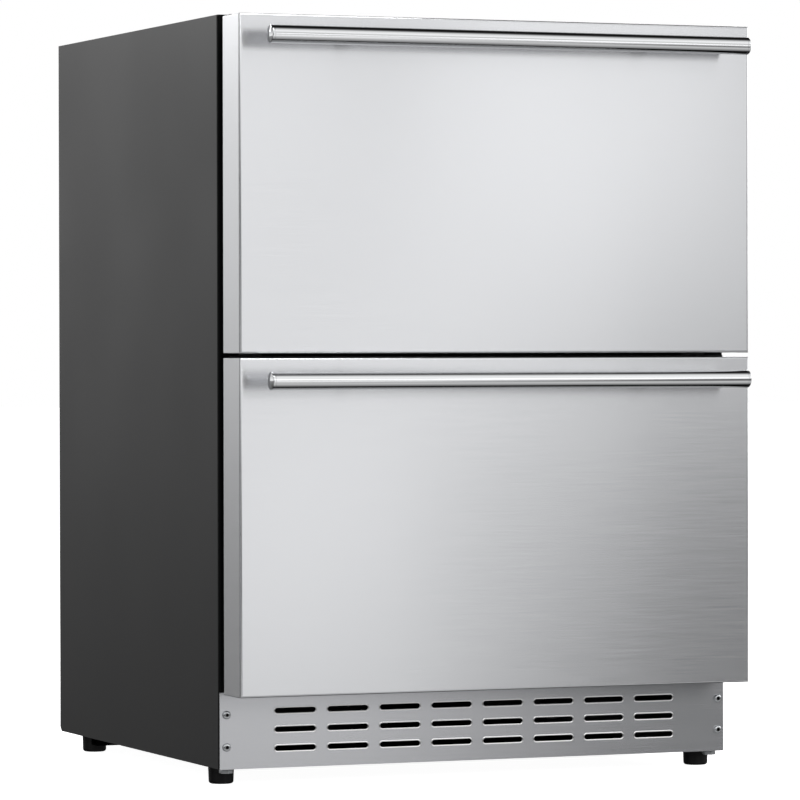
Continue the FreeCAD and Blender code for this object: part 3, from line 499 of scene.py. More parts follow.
class Form:
    """A mesh under construction, in metres in the CAD frame."""

    def __init__(self) -> None:
        """Starts empty."""
        self.bm = bmesh.new()
        self.copied = False

    @classmethod
    def of_node(cls, node: str) -> "Form":
        """Copies a CAD node's mesh and joins its loose triangles.

        Args:
            node: Name of the CAD node.

        Returns:
            The copy, ready for shaping.
        """
        form = cls()
        form.copied = True
        form.bm.from_mesh(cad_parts[node].data)
        bmesh.ops.remove_doubles(form.bm, verts=form.bm.verts, dist=WELD)
        return form

    def flatten(self) -> "Form":
        """Merges the triangles of each flat face into one."""
        bmesh.ops.dissolve_limit(self.bm, angle_limit=FLAT_ANGLE, verts=self.bm.verts, edges=self.bm.edges)
        return self

    def box(self, low: Vector, high: Vector) -> list[BMFace]:
        """Adds a block.

        Args:
            low: Lowest corner.
            high: Highest corner.

        Returns:
            The block's faces.
        """
        place = Matrix.LocRotScale((low + high) / 2, None, high - low)
        made = bmesh.ops.create_cube(self.bm, size=1.0, matrix=place)
        return list({face for vert in made["verts"] for face in vert.link_faces})

    def tray(self, low: Vector, high: Vector, axis: Axis) -> None:
        """Adds a block without the face where it ends along an axis."""
        lid = [face for face in self.box(low, high) if face.normal.dot(axis.along) > LEVEL]
        bmesh.ops.delete(self.bm, geom=lid, context="FACES_ONLY")

    def pull_rim(self) -> list[BMVert]:
        """Draws a strip out of the open rim, with no width yet.

        Returns:
            The strip's free corners.
        """
        rim = [edge for edge in self.bm.edges if edge.is_boundary]
        drawn = bmesh.ops.extrude_edge_only(self.bm, edges=rim)["geom"]
        return [item for item in drawn if isinstance(item, BMVert)]

    def spread(self, verts: Sequence[BMVert], low: Vector, high: Vector, reach: Sequence[float]) -> None:
        """Scales corners about a box's middle, as its sides move out by a reach along X, Y and Z in mm."""
        shares = [1 + 2 * out * MM / side for out, side in zip(reach, high - low)]
        bmesh.ops.scale(self.bm, vec=shares, space=Matrix.Translation(-(low + high) / 2), verts=verts)

    def cut(self, place: float, axis: Axis) -> None:
        """Cuts every face along a plane across an axis."""
        whole = [*self.bm.verts, *self.bm.edges, *self.bm.faces]
        bmesh.ops.bisect_plane(self.bm, geom=whole, plane_co=axis.along * place, plane_no=axis.along)

    def lathe(self, outline: Sequence[tuple[float, float]], start: Vector, axis: Axis,
              steps: int = 64) -> None:
        """Turns an outline about an axis into a closed solid.

        Args:
            outline: (along, radius) points in mm; it either starts and ends on the axis or closes on itself.
            start: Point on the axis that along is measured from.
            axis: Direction of the axis.
            steps: Facets round the axis.
        """
        along, across = axis.value
        verts = [self.bm.verts.new(start + along * (a * MM) + across * (r * MM)) for a, r in outline]
        pairs = list(zip(verts, verts[1:]))
        if outline[0][1] > 0:
            pairs.append((verts[-1], verts[0]))
        edges = [self.bm.edges.new(pair) for pair in pairs]
        bmesh.ops.spin(self.bm, geom=verts + edges, cent=start, axis=along, angle=math.tau, steps=steps,
                       use_merge=True)

    def plaque(self, centre: Vector, width: float, height: float, facing: Facing, corner: float,
               steps: int = 6) -> BMFace:
        """Adds a flat rectangle with rounded corners.

        Args:
            centre: Its middle.
            width: Size across, in mm.
            height: Size up, in mm.
            facing: The way that it faces.
            corner: Radius of its corners, in mm.
            steps: Facets in each corner.

        Returns:
            The face.
        """
        size = Matrix.Diagonal((width * MM, height * MM, 1.0, 1.0))
        place = Matrix.Translation(centre) @ facing.value @ size
        made = bmesh.ops.create_grid(self.bm, x_segments=1, y_segments=1, size=0.5, matrix=place)
        if not corner:
            return made["verts"][0].link_faces[0]
        rounded = bmesh.ops.bevel(self.bm, geom=made["verts"], offset=corner * MM, offset_type="OFFSET",
                                  segments=steps, profile=0.5, affect="VERTICES", clamp_overlap=True,
                                  material=-1)
        return rounded["verts"][0].link_faces[0]

    def step_in(self, face: BMFace, steps: Iterable[tuple[float, float]]) -> BMFace:
        """Steps a face inwards and outwards to trace a profile round its rim.

        Args:
            face: The face to start from.
            steps: (inset, rise) of each step, in mm.

        Returns:
            The face left in the middle.
        """
        for inset, rise in steps:
            bmesh.ops.inset_region(self.bm, faces=[face], thickness=inset * MM, depth=rise * MM,
                                   use_even_offset=True, use_boundary=True)
        return face

    def ring(self, centre: Vector, width: float, height: float, facing: Facing, corner: float,
             steps: Iterable[tuple[float, float]]) -> None:
        """Adds a closed frame with a traced profile and an open middle.

        Args:
            centre: Its middle.
            width: Outer size across, in mm.
            height: Outer size up, in mm.
            facing: The way that it faces.
            corner: Radius of its outer corners, in mm.
            steps: (inset, rise) of each step of the profile, in mm.
        """
        face = self.plaque(centre, width, height, facing, corner)
        outer = list(face.edges)
        face = self.step_in(face, steps)
        inner = list(face.edges)
        bmesh.ops.delete(self.bm, geom=[face], context="FACES_ONLY")
        bmesh.ops.bridge_loops(self.bm, edges=outer + inner)

    def sharp(self) -> list[BMEdge]:
        """Lists the edges that are sharp enough to be eased."""
        return [edge for edge in self.bm.edges if edge.is_manifold and edge.calc_face_angle() > EASED_ANGLE]

    def round_edges(self, edges: Iterable[BMEdge], radius: float, steps: int) -> None:
        """Rounds some edges by a width on each side in mm, with a number of facets."""
        bmesh.ops.bevel(self.bm, geom=list(edges), offset=radius * MM, offset_type="OFFSET", segments=steps,
                        profile=0.5, affect="EDGES", clamp_overlap=True, material=-1)

    def ease(self, radius: float, steps: int = EASE_STEPS) -> "Form":
        """Rounds every sharp edge a little."""
        self.round_edges(self.sharp(), radius, steps)
        return self

    def piece(self, name: str, body: str, finish: Finish, stands_for: Sequence[str] = (),
              wall: float = 0.0, fronts: Finish | None = None, black_band: float = -math.inf) -> None:
        """Makes the form into a finished object on its CAD body.

        Args:
            name: Name of the piece.
            body: CAD body that it moves with.
            finish: Its surface.
            stands_for: CAD nodes that it takes the place of.
            wall: Thickness that its sheet gets inwards, in mm.
            fronts: Surface of the faces that look to the front, where it differs; on the shell this is a matt
                black that is partly painted shade of the gap behind the fronts.
            black_band: Y that every face with that surface lies before, in metres.
        """
        bmesh.ops.remove_doubles(self.bm, verts=self.bm.verts, dist=WELD)
        if not self.copied:
            bmesh.ops.recalc_face_normals(self.bm, faces=self.bm.faces)
        mesh = bpy.data.meshes.new(name)
        self.bm.to_mesh(mesh)
        self.bm.free()
        stale = mesh.attributes.get("custom_normal")
        if stale is not None:
            mesh.attributes.remove(stale)
        mesh.shade_smooth()
        mesh.set_sharp_from_angle(angle=SHARP_ANGLE)
        mesh.materials.append(finish.material())
        # Faces that look to the front, and those before the given Y, take the second finish: on the shell, a
        # black that is partly painted shade
        if fronts is not None:
            mesh.materials.append(fronts.material())
            for face in mesh.polygons:
                face.material_index = int(face.normal.y < -LEVEL or face.center.y < black_band)
        thing = bpy.data.objects.new(name, mesh)
        bpy.context.scene.collection.objects.link(thing)
        if wall:
            sheet = thing.modifiers.new("sheet", "SOLIDIFY")
            sheet.thickness = wall * MM
            sheet.offset = -1.0
            sheet.use_even_offset = True
        weighted = thing.modifiers.new("flat_faces", "WEIGHTED_NORMAL")
        weighted.keep_sharp = True
        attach(thing, body)
        if stands_for:
            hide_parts(*stands_for)
        log.info("%s rides on %s in %s", name, body, finish.name)


def keep_node(node: str, finish: Finish) -> None:
    """Leaves a hidden CAD node as it is and gives it its finish.

    Args:
        node: Name of the CAD node.
        finish: Its surface.
    """
    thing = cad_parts[node]
    if not thing.material_slots:
        thing.data.materials.append(finish.material())
    for place in thing.material_slots:
        place.material = finish.material()
    log.info("%s stays as its CAD node in %s", node, finish.name)


@dataclass(frozen=True)
class EasedNode:
    """A piece that keeps its CAD shape, with the edges eased as a press, a mould or a brake leaves them."""

    node: str
    finish: Finish
    ease: float = 0.0
    steps: int = EASE_STEPS
    body: str = CABINET
    fronts: Finish | None = None

    def build(self) -> None:
        """Copies the node, eases it and dresses it."""
        form = Form.of_node(self.node)
        if self.ease:
            form.flatten().ease(self.ease, self.steps)
        form.piece(f"{self.node}_dressed", self.body, self.finish, [self.node], fronts=self.fronts)


@dataclass(frozen=True)
class PanHeadScrew:
    """A pan-head screw along Y: a domed head round a socket, whose hollow holds a black cup of painted shade.

    The radius, the height and the skin of the shade cup are in mm, and the other sizes are shares of them.
    """

    radius: float
    height: float
    head_wall: float = 0.3
    head_flat: float = 0.5
    socket: float = 0.44
    socket_floor: float = 0.35
    shade_cup: float = 0.96
    shade_cup_foot: float = 0.37
    shade_cup_top: float = 0.9
    shade_cup_mouth: float = 0.9
    shade_cup_base: float = 0.6
    shade_cup_skin: float = 0.1
    crown_steps: int = 5
    head_facets: int = 40
    shade_cup_facets: int = 24

    def head_outline(self) -> list[tuple[float, float]]:
        """Traces the head from its seat over the dome and down into the socket.

        Returns:
            (along, radius) points.
        """
        crown = [(self.height * (self.head_wall + (1 - self.head_wall) * math.sin(turn)),
                  self.radius * (self.head_flat + (1 - self.head_flat) * math.cos(turn)))
                 for turn in quarter_turn(self.crown_steps)]
        bore, floor = self.radius * self.socket, self.height * self.socket_floor
        return [(0.0, 0.0), (0.0, self.radius), *crown, (self.height, bore), (floor, bore), (floor, 0.0)]

    def painted_shade_outline(self) -> list[tuple[float, float]]:
        """Traces the black cup of painted shade that lines the socket, standing for the shade in its hollow.

        Returns:
            (along, radius) points.
        """
        wall = self.radius * self.socket * self.shade_cup
        foot, top = self.height * self.shade_cup_foot, self.height * self.shade_cup_top
        floor = foot + self.shade_cup_skin
        return [(foot, 0.0), (foot, wall), (top, wall), (top, wall * self.shade_cup_mouth),
                (floor, wall * self.shade_cup_base), (floor, 0.0)]

    def drive(self, name: str, seats: Iterable[Vector], facing: Facing,
              stands_for: Sequence[str] = ()) -> None:
        """Drives such screws into the cabinet, as a piece of heads and a piece of black cups of painted shade
        in their sockets.

        Args:
            name: Start of the names of both pieces.
            seats: Middle of each head, on the face that it sits on.
            facing: The way that the heads face.
            stands_for: CAD nodes that the heads take the place of.
        """
        heads, painted_shade_cups = Form(), Form()
        for seat in seats:
            for form, outline, facets in ((heads, self.head_outline(), self.head_facets),
                                          (painted_shade_cups, self.painted_shade_outline(), self.shade_cup_facets)):
                turned = [(facing.away * along, across) for along, across in outline]
                form.lathe(turned, seat, Axis.Y, facets)
        heads.piece(f"{name}_heads", CABINET, SCREW_STEEL, stands_for)
        # The black cups are painted shade, standing for the shade inside each socket
        painted_shade_cups.piece(f"{name}_sockets", CABINET, SHADOW_COAT)


@dataclass
class DrawerFront:
    """One insulated drawer front: folded steel skin, inner panel and its magnetic gasket. Sizes in mm."""

    tier: Tier
    fold: float = 2.4
    fold_steps: int = 6
    corner: float = 1.0
    corner_steps: int = 4
    lip: float = 9.0
    sheet: float = 0.9
    panel_ease: float = 1.4
    panel_steps: int = 3
    recess_inset: float = 30.0
    recess_wall: float = 4.0
    recess_depth: float = 4.0
    # (inset in mm, rise as a share of the gasket's depth)
    gasket_profile: Sequence[tuple[float, float]] = (
        (0.4, 0.32), (2.4, 0.04), (0.3, 0.38), (0.8, 0.16), (1.5, 0.1), (3.2, 0.0), (1.5, -0.1), (0.8, -0.16),
        (0.3, -0.38), (2.4, -0.04), (0.4, -0.32))

    def skin(self) -> None:
        """Folds the steel skin: a tray with rounded folds and a lip turned in behind."""
        node = self.tier.node("front_skin")
        low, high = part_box(node)
        form = Form()
        form.tray(low, high, Axis.Y)
        form.spread(form.pull_rim(), low, high, (-self.lip, 0.0, -self.lip))
        folds = [edge for edge in form.bm.edges if all(abs(vert.co.y - low.y) < WELD for vert in edge.verts)]
        form.round_edges(folds, self.fold, self.fold_steps)
        seams = [edge for edge in form.sharp()
                 if abs((edge.verts[0].co - edge.verts[1].co).y) > self.lip * MM]
        form.round_edges(seams, self.corner, self.corner_steps)
        form.piece(self.tier.node("front_steel_skin"), self.tier.body, BELT_STEEL, [node], wall=self.sheet)

    def inner_panel(self) -> None:
        """Eases the formed inner panel and presses a shallow field into its back."""
        node = self.tier.node("inner_panel")
        form = Form.of_node(node).flatten().ease(self.panel_ease, self.panel_steps)
        back = max((face for face in form.bm.faces if face.normal.y > LEVEL), key=BMFace.calc_area)
        form.step_in(back, ((self.recess_inset, 0.0), (self.recess_wall, -self.recess_depth)))
        form.piece(self.tier.node("front_inner_panel"), self.tier.body, BLACK_ABS, [node])

    def gasket(self) -> None:
        """Runs the gasket round the front: a foot in the panel's groove under a soft bulb."""
        node = self.tier.node("gasket")
        low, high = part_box(node)
        size = (high - low) / MM
        steps = [(inset, rise * size.y) for inset, rise in self.gasket_profile]
        form = Form()
        form.ring(low_end(low, high, Axis.Y), size.x, size.z, Facing.BACK, 0.0, steps)
        form.piece(self.tier.node("door_gasket"), self.tier.body, SEAL_RUBBER, [node])

    def build(self) -> None:
        """Builds the front."""
        self.skin()
        self.inner_panel()
        self.gasket()
        keep_node(self.tier.node("front_foam"), FOAM)


@dataclass
class BarHandle:
    """One tubular bar handle with end caps on two posts. Sizes in mm."""

    tier: Tier
    tube_wall: float = 1.5
    tube_edge: float = 0.3
    cap_edge: float = 0.8
    cap_steps: int = 4
    cap_dome: float = 1.0
    dome_steps: int = 5
    post_ease: float = 0.25

    def bar(self) -> None:
        """Turns the tube."""
        node = self.tier.node("handle_bar")
        low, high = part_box(node)
        length = (high.x - low.x) / MM
        radius = min(high.y - low.y, high.z - low.z) / 2 / MM
        bore = radius - self.tube_wall
        edge = self.tube_edge
        outline = ((0.0, bore), (0.0, radius - edge), (edge, radius), (length - edge, radius),
                   (length, radius - edge), (length, bore))
        form = Form()
        form.lathe(outline, low_end(low, high, Axis.X), Axis.X)
        form.piece(self.tier.node("handle_tube"), self.tier.body, TUBE_STEEL, [node])

    def caps(self) -> None:
        """Turns the two end caps: slightly domed polished discs with a rounded rim."""
        node = self.tier.node("handle_caps")
        low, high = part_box(node)
        tube_low, tube_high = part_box(self.tier.node("handle_bar"))
        radius = (high.z - low.z) / 2 / MM
        face = radius - self.cap_edge
        middle = (low + high) / 2
        shares = [step / self.dome_steps for step in reversed(range(self.dome_steps))]
        form = Form()
        for seat, end in ((tube_low.x, low.x), (tube_high.x, high.x)):
            reach = (end - seat) / MM
            side = math.copysign(1.0, reach)
            edge = [(reach - side * (self.cap_dome + self.cap_edge * (1 - math.sin(turn))),
                     face + self.cap_edge * math.cos(turn)) for turn in quarter_turn(self.cap_steps)]
            dome = [(reach - side * self.cap_dome * share ** 2, face * share) for share in shares]
            form.lathe([(0.0, 0.0), (0.0, radius), *edge, *dome], Vector((seat, middle.y, middle.z)), Axis.X)
        form.piece(self.tier.node("handle_end_caps"), self.tier.body, TUBE_STEEL, [node])

    def build(self) -> None:
        """Builds the handle."""
        self.bar()
        self.caps()
        EasedNode(self.tier.node("handle_posts"), POST_STEEL_PAINTED_SHADE, self.post_ease, body=self.tier.body).build()
        keep_node(self.tier.node("handle_screws"), ZINC_PLATE)


@dataclass
class DrawerBin:
    """One moulded bin with its steel brackets. Sizes in mm."""

    tier: Tier
    wall: float = 2.0
    rim: float = 4.5
    rim_drop: float = 9.0
    corner: float = 6.0
    corner_steps: int = 5
    floor: float = 4.0
    floor_steps: int = 4
    step_share: float = 0.62
    step_drop: float = 5.0
    draught: float = 1.2
    bracket_ease: float = 0.5

    def tub(self) -> None:
        """Moulds the tub: drawn-in lower walls, a stacking step and a turned-down rim."""
        node = self.tier.node("bin")
        low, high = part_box(node)
        inset = Vector((self.rim * MM, self.rim * MM, 0.0))
        form = Form()
        form.tray(low + inset, high - inset, Axis.Z)
        step = low.z + (high.z - low.z) * self.step_share
        step_foot = step - self.step_drop * MM
        form.cut(step, Axis.Z)
        form.cut(step_foot, Axis.Z)
        lower = [vert for vert in form.bm.verts if vert.co.z < step_foot + WELD]
        form.spread(lower, low, high, (-self.draught, -self.draught, 0.0))
        form.spread(form.pull_rim(), low + inset, high - inset, (self.rim, self.rim, 0.0))
        bmesh.ops.translate(form.bm, vec=(0.0, 0.0, -self.rim_drop * MM), verts=form.pull_rim())
        upright = [edge for edge in form.sharp()
                   if abs((edge.verts[0].co - edge.verts[1].co).normalized().z) > LEVEL]
        form.round_edges(upright, self.corner, self.corner_steps)
        bottom = [edge for edge in form.sharp() if all(vert.co.z < low.z + WELD for vert in edge.verts)]
        form.round_edges(bottom, self.floor, self.floor_steps)
        form.piece(self.tier.node("bin_tub"), self.tier.body, BIN_PLASTIC, [node], wall=self.wall)

    def build(self) -> None:
        """Builds the bin."""
        self.tub()
        EasedNode(self.tier.node("bin_brackets"), ZINC_PLATE, self.bracket_ease, body=self.tier.body).build()


@dataclass
class TelescopicSlides:
    """The four telescopic slides: rails on the cabinet, the drawers and between them. Sizes in mm."""

    ease: float = 0.4

    def build(self) -> None:
        """Eases the rolled rails."""
        EasedNode("cabinet_rails", ZINC_PLATE, self.ease).build()
        for tier in Tier:
            for part, body in (("drawer_rails", tier.body), ("middle_rails", tier.node("middle_slide"))):
                EasedNode(tier.node(part), ZINC_PLATE, self.ease, body=body).build()


@dataclass
class KickPlate:
    """The slotted stainless kick plate with its screws. Sizes in mm."""

    slot_length: float = 46.5
    slot_width: float = 6.0
    slot_pitch: float = 60.5
    row_pitch: float = 20.2
    columns: int = 8
    rows: int = 3
    rim: float = 1.25
    rim_rise: float = 0.2
    rim_depth: float = 1.0
    rim_taper: float = 0.05
    end_flat: float = 0.25
    screw: PanHeadScrew = PanHeadScrew(4.49, 2.6)

    def rims(self) -> None:
        """Presses a raised rim round each slot, toned lighter than the plate as a painted highlight."""
        low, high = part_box("kick_plate")
        half = self.rim / 2
        profile = ((half, self.rim_rise), (half, -self.rim_rise), (self.rim_taper, -self.rim_depth))
        length, width = self.slot_length + 2 * self.rim, self.slot_width + 2 * self.rim
        form = Form()
        for column in range(self.columns):
            for row in range(self.rows):
                across = (column - (self.columns - 1) / 2) * self.slot_pitch
                up = (row - (self.rows - 1) / 2) * self.row_pitch
                middle = Vector((across * MM, low.y, (low.z + high.z) / 2 + up * MM))
                form.ring(middle, length, width, Facing.FRONT, width / 2 - self.end_flat, profile)
        form.piece("kick_plate_slot_rims", CABINET, RIM_STEEL_PAINTED_HIGHLIGHT)

    def screws(self) -> None:
        """Drives the four pan-head screws, two up each end."""
        low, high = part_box("kick_plate_screws")
        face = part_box("kick_plate")[0].y
        reach = self.screw.radius * MM
        seats = [Vector((x, face, z)) for x in (low.x + reach, high.x - reach)
                 for z in (low.z + reach, high.z - reach)]
        self.screw.drive("kick_plate_screw", seats, Facing.FRONT, ["kick_plate_screws"])

    def build(self) -> None:
        """Builds the kick plate."""
        EasedNode("kick_plate", KICK_STEEL_PAINTED_SHADE).build()
        self.rims()
        self.screws()


@dataclass
class LevellingFoot:
    """One levelling foot: a moulded glide on a threaded stud. Sizes in mm."""

    corner: Corner
    edge: float = 3.0
    edge_steps: int = 5
    taper: float = 0.6
    groove: float = 0.25
    groove_rise: float = 12.0
    shoulder: float = 1.0
    shoulder_inset: float = 0.8
    bore_gap: float = 0.4
    bore_mouth: float = 1.2
    glide_height: float = 17.7
    seat: float = 8.0
    seat_gap: float = 0.1
    stud_radius: float = 5.0
    stud_tip: float = 0.6
    stud_facets: int = 32
    thread_pitch: float = 1.5
    thread_depth: float = 0.7

    def glide(self) -> None:
        """Turns the glide: a slightly tapered puck with a rounded sole and a grip groove."""
        node = self.corner.foot
        low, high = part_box(node)
        top = (high.x - low.x) / 2 / MM
        bottom = top - self.taper
        waist = (bottom + top) / 2
        height, rise, groove = self.glide_height, self.groove_rise, self.groove
        bore = self.stud_radius + self.bore_gap
        sole = [(self.edge * (1 - math.cos(turn)), bottom - self.edge * (1 - math.sin(turn)))
                for turn in quarter_turn(self.edge_steps)]
        outline = ((0.0, 0.0), *sole, (rise - groove, waist), (rise, waist - groove), (rise + groove, waist),
                   (height - self.shoulder, top), (height, top - self.shoulder_inset),
                   (height, self.stud_radius + self.bore_mouth), (height - self.shoulder, bore),
                   (self.seat, bore), (self.seat, 0.0))
        form = Form()
        form.lathe(outline, low_end(low, high, Axis.Z), Axis.Z)
        form.piece(f"{node}_glide", node, FOOT_NYLON, [node])

    def stud(self) -> None:
        """Turns the stud with the crests and roots of its thread."""
        node = self.corner.foot
        low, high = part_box(node)
        top = (high.z - low.z) / MM
        root = self.stud_radius - self.thread_depth
        turns = int((top - self.seat - 2 * self.thread_pitch) / self.thread_pitch)
        outline = [(self.seat + self.seat_gap, 0.0), (self.seat + self.seat_gap, root)]
        for turn in range(turns):
            foot = self.seat + (turn + 0.5) * self.thread_pitch
            outline += [(foot, root), (foot + self.thread_pitch / 2, self.stud_radius)]
        outline += [(top - self.stud_tip, root), (top, root - self.stud_tip), (top, 0.0)]
        form = Form()
        form.lathe(outline, low_end(low, high, Axis.Z), Axis.Z, self.stud_facets)
        form.piece(f"{node}_stud", node, ZINC_PLATE, [node])

    def build(self) -> None:
        """Builds the foot."""
        self.glide()
        self.stud()


@dataclass
class CabinetShell:
    """The dark outer shell with its back, base and corner bolts. Sizes in mm."""

    # Depth of the matt black band along the front edge of each side panel
    black_band: float = 4.5
    field_margin: float = 30.0
    field_wall: float = 5.0
    field_depth: float = 0.75
    screw: PanHeadScrew = PanHeadScrew(4.2, 0.7)
    screw_inset: float = 13.0
    screw_pitch: float = 160.0
    bolt_hex: float = 13.0
    bolt_head: float = 4.0
    bolt_ease: float = 0.4
    bolt_shank: float = 3.0
    bolt_facets: int = 40
    washer_edge: float = 1.0
    washer_bevel: float = 0.2
    plain: Sequence[EasedNode] = (
        # The top panel's front faces take the matt black, partly painted shade of the gap above the upper
        # front
        EasedNode("top_panel", CHARCOAL_COAT, SHEET_EASE, fronts=SHADOW_COAT),
        EasedNode("bay_panel", ZINC_SHEET),
        EasedNode("base_pan", UNDER_COAT, SHEET_EASE),
        EasedNode("foot_nuts", ZINC_PLATE, 0.3),
    )

    def sides(self) -> None:
        """Folds the side panels, each matt black on its front flange and along the front edge of its side,
        behind the fronts.
        """
        for node in ("left_side_panel", "right_side_panel"):
            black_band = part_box(node)[0].y + self.black_band * MM
            form = Form.of_node(node).flatten()
            form.cut(black_band, Axis.Y)
            form.ease(SHEET_EASE)
            # The front flange takes the matt black, partly painted shade of the gap behind the fronts, and so
            # does a band along the front edge of the side
            form.piece(f"{node}_dressed", CABINET, CHARCOAL_COAT, [node], fronts=SHADOW_COAT, black_band=black_band)

    def back(self) -> None:
        """Presses a raised stiffening field in the back panel and leaves the rear cover as a thin sheet."""
        low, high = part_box("back_panel")
        margin = high - Vector((0.0, self.field_depth * MM, 0.0))
        form = Form()
        rear = next(face for face in form.box(low, margin) if face.normal.y > LEVEL)
        form.step_in(rear, ((self.field_margin, 0.0), (self.field_wall, self.field_depth)))
        form.piece("back_panel_pressed", CABINET, ZINC_SHEET, ["back_panel"])
        cover = Form.of_node("rear_cover")
        outer = [vert for vert in cover.bm.verts if vert.co.y > high.y - WELD]
        bmesh.ops.translate(cover.bm, vec=(0.0, -self.field_depth * MM, 0.0), verts=outer)
        cover.piece("rear_cover_sheet", CABINET, ZINC_SHEET, ["rear_cover"])

    def rear_screws(self) -> None:
        """Drives the screws round the back panel and the rear cover."""
        inset = Vector((self.screw_inset, 0.0, self.screw_inset)) * MM
        seats: list[Vector] = []
        for node in ("back_panel", "rear_cover"):
            low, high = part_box(node)
            low, high = low + inset, high - inset
            columns = 1 + round((high.x - low.x) / (self.screw_pitch * MM))
            rows = 1 + round((high.z - low.z) / (self.screw_pitch * MM))
            seats += [Vector((low.x + (high.x - low.x) * column / (columns - 1),
                              high.y - self.field_depth * MM,
                              low.z + (high.z - low.z) * row / (rows - 1)))
                      for column in range(columns) for row in range(rows)
                      if column in (0, columns - 1) or row in (0, rows - 1)]
        self.screw.drive("rear_screw", seats, Facing.BACK)

    def bolts(self) -> None:
        """Makes the two corner bolts: a hexagon head under a round washer face."""
        low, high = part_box("corner_bolts")
        head = self.bolt_head * MM
        wide = self.bolt_hex / 2
        reach = wide / math.cos(math.pi / 6) * MM
        top = (high.z - low.z) / MM - self.bolt_head
        shank, washer = self.bolt_shank, self.washer_edge
        outline = ((0.0, 0.0), (0.0, wide - self.washer_bevel), (washer / 2, wide),
                   (washer, wide - self.washer_bevel), (washer, shank), (top, shank), (top, 0.0))
        middle_y = (low.y + high.y) / 2
        form = Form()
        for x in (low.x + reach, high.x - reach):
            place = Matrix.Translation((x, middle_y, low.z + head / 2))
            made = bmesh.ops.create_cone(form.bm, cap_ends=True, segments=6, radius1=reach, radius2=reach,
                                         depth=head, matrix=place)
            edges = {edge for vert in made["verts"] for edge in vert.link_edges}
            form.round_edges(edges, self.bolt_ease, EASE_STEPS)
            form.lathe(outline, Vector((x, middle_y, low.z + head)), Axis.Z, self.bolt_facets)
        form.piece("corner_hex_bolts", CABINET, ZINC_PLATE, ["corner_bolts"])

    def build(self) -> None:
        """Builds the shell."""
        self.sides()
        self.back()
        self.rear_screws()
        self.bolts()
        for piece in self.plain:
            piece.build()
        keep_node("insulation_foam", FOAM)


@dataclass
class ColdBox:
    """The lined box: liner, frame, mullion, evaporator with its cover, controls and lamp. Sizes in mm."""

    liner_corner: float = 9.0
    liner_steps: int = 4
    glass_inset: float = 4.5
    glass_proud: float = 0.5
    glass_ease: float = 0.4
    keys: int = 4
    key_pitch: float = 20.0
    key_radius: float = 4.2
    key_line: float = 0.7
    key_facets: int = 40
    print_rise: float = 0.1
    window: tuple[float, float] = (34.0, 10.0)
    window_corner: float = 1.5
    plain: Sequence[EasedNode] = (
        EasedNode("breaker_frame", BLACK_ABS, 0.8),
        EasedNode("mullion", BLACK_COAT, 1.5, 3),
        EasedNode("evaporator_cover", WHITE_LINER),
        EasedNode("evaporator_coil", FINS),
        EasedNode("evaporator_fan_motor", BLACK_ABS, 0.6),
        EasedNode("evaporator_fan", WHITE_LINER, 0.3, body="evaporator_rotor"),
        EasedNode("control_panel", BLACK_ABS, 2.0, 3),
        EasedNode("interior_lamp", LENS, 1.5, 3),
        EasedNode("drain_tube", BLACK_ABS, 0.3),
    )

    def liner(self) -> None:
        """Rounds the inner corners of the liner as vacuum forming leaves them."""
        form = Form.of_node("inner_liner").flatten()
        corners = [edge for edge in form.bm.edges
                   if edge.is_manifold and edge.calc_face_angle_signed() < CONCAVE_ANGLE]
        form.round_edges(corners, self.liner_corner, self.liner_steps)
        form.piece("formed_liner", CABINET, WHITE_LINER, ["inner_liner"])

    def controls(self) -> None:
        """Sets a black glass strip into the control panel, with printed key rings and a display window."""
        low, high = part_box("control_panel")
        inset = Vector((self.glass_inset, 0.0, self.glass_inset)) * MM
        proud = Vector((0.0, self.glass_proud, 0.0)) * MM
        low, high = low + inset - proud, Vector((high.x, low.y, high.z)) - inset + proud
        glass = Form()
        glass.box(low, high)
        glass.ease(self.glass_ease)
        glass.piece("control_panel_glass", CABINET, TOUCH_GLASS)
        middle = low_end(low, high, Axis.Y)
        rise, outer, inner = self.print_rise, self.key_radius, self.key_radius - self.key_line
        lines = Form()
        for key in range(self.keys):
            place = middle + Vector(((key + 0.5) * self.key_pitch * MM, 0.0, 0.0))
            lines.lathe(((-rise, inner), (-rise, outer), (rise, outer), (rise, inner)), place, Axis.Y,
                        self.key_facets)
        width, height = self.window
        place = middle - Vector(((width / 2 + self.key_pitch) * MM, rise * MM, 0.0))
        lines.ring(place, width, height, Facing.FRONT, self.window_corner,
                   ((self.key_line, 0.0), (0.0, -2 * rise)))
        lines.piece("control_panel_print", CABINET, KEY_PRINT)

    def build(self) -> None:
        """Builds the box."""
        self.liner()
        self.controls()
        for piece in self.plain:
            piece.build()


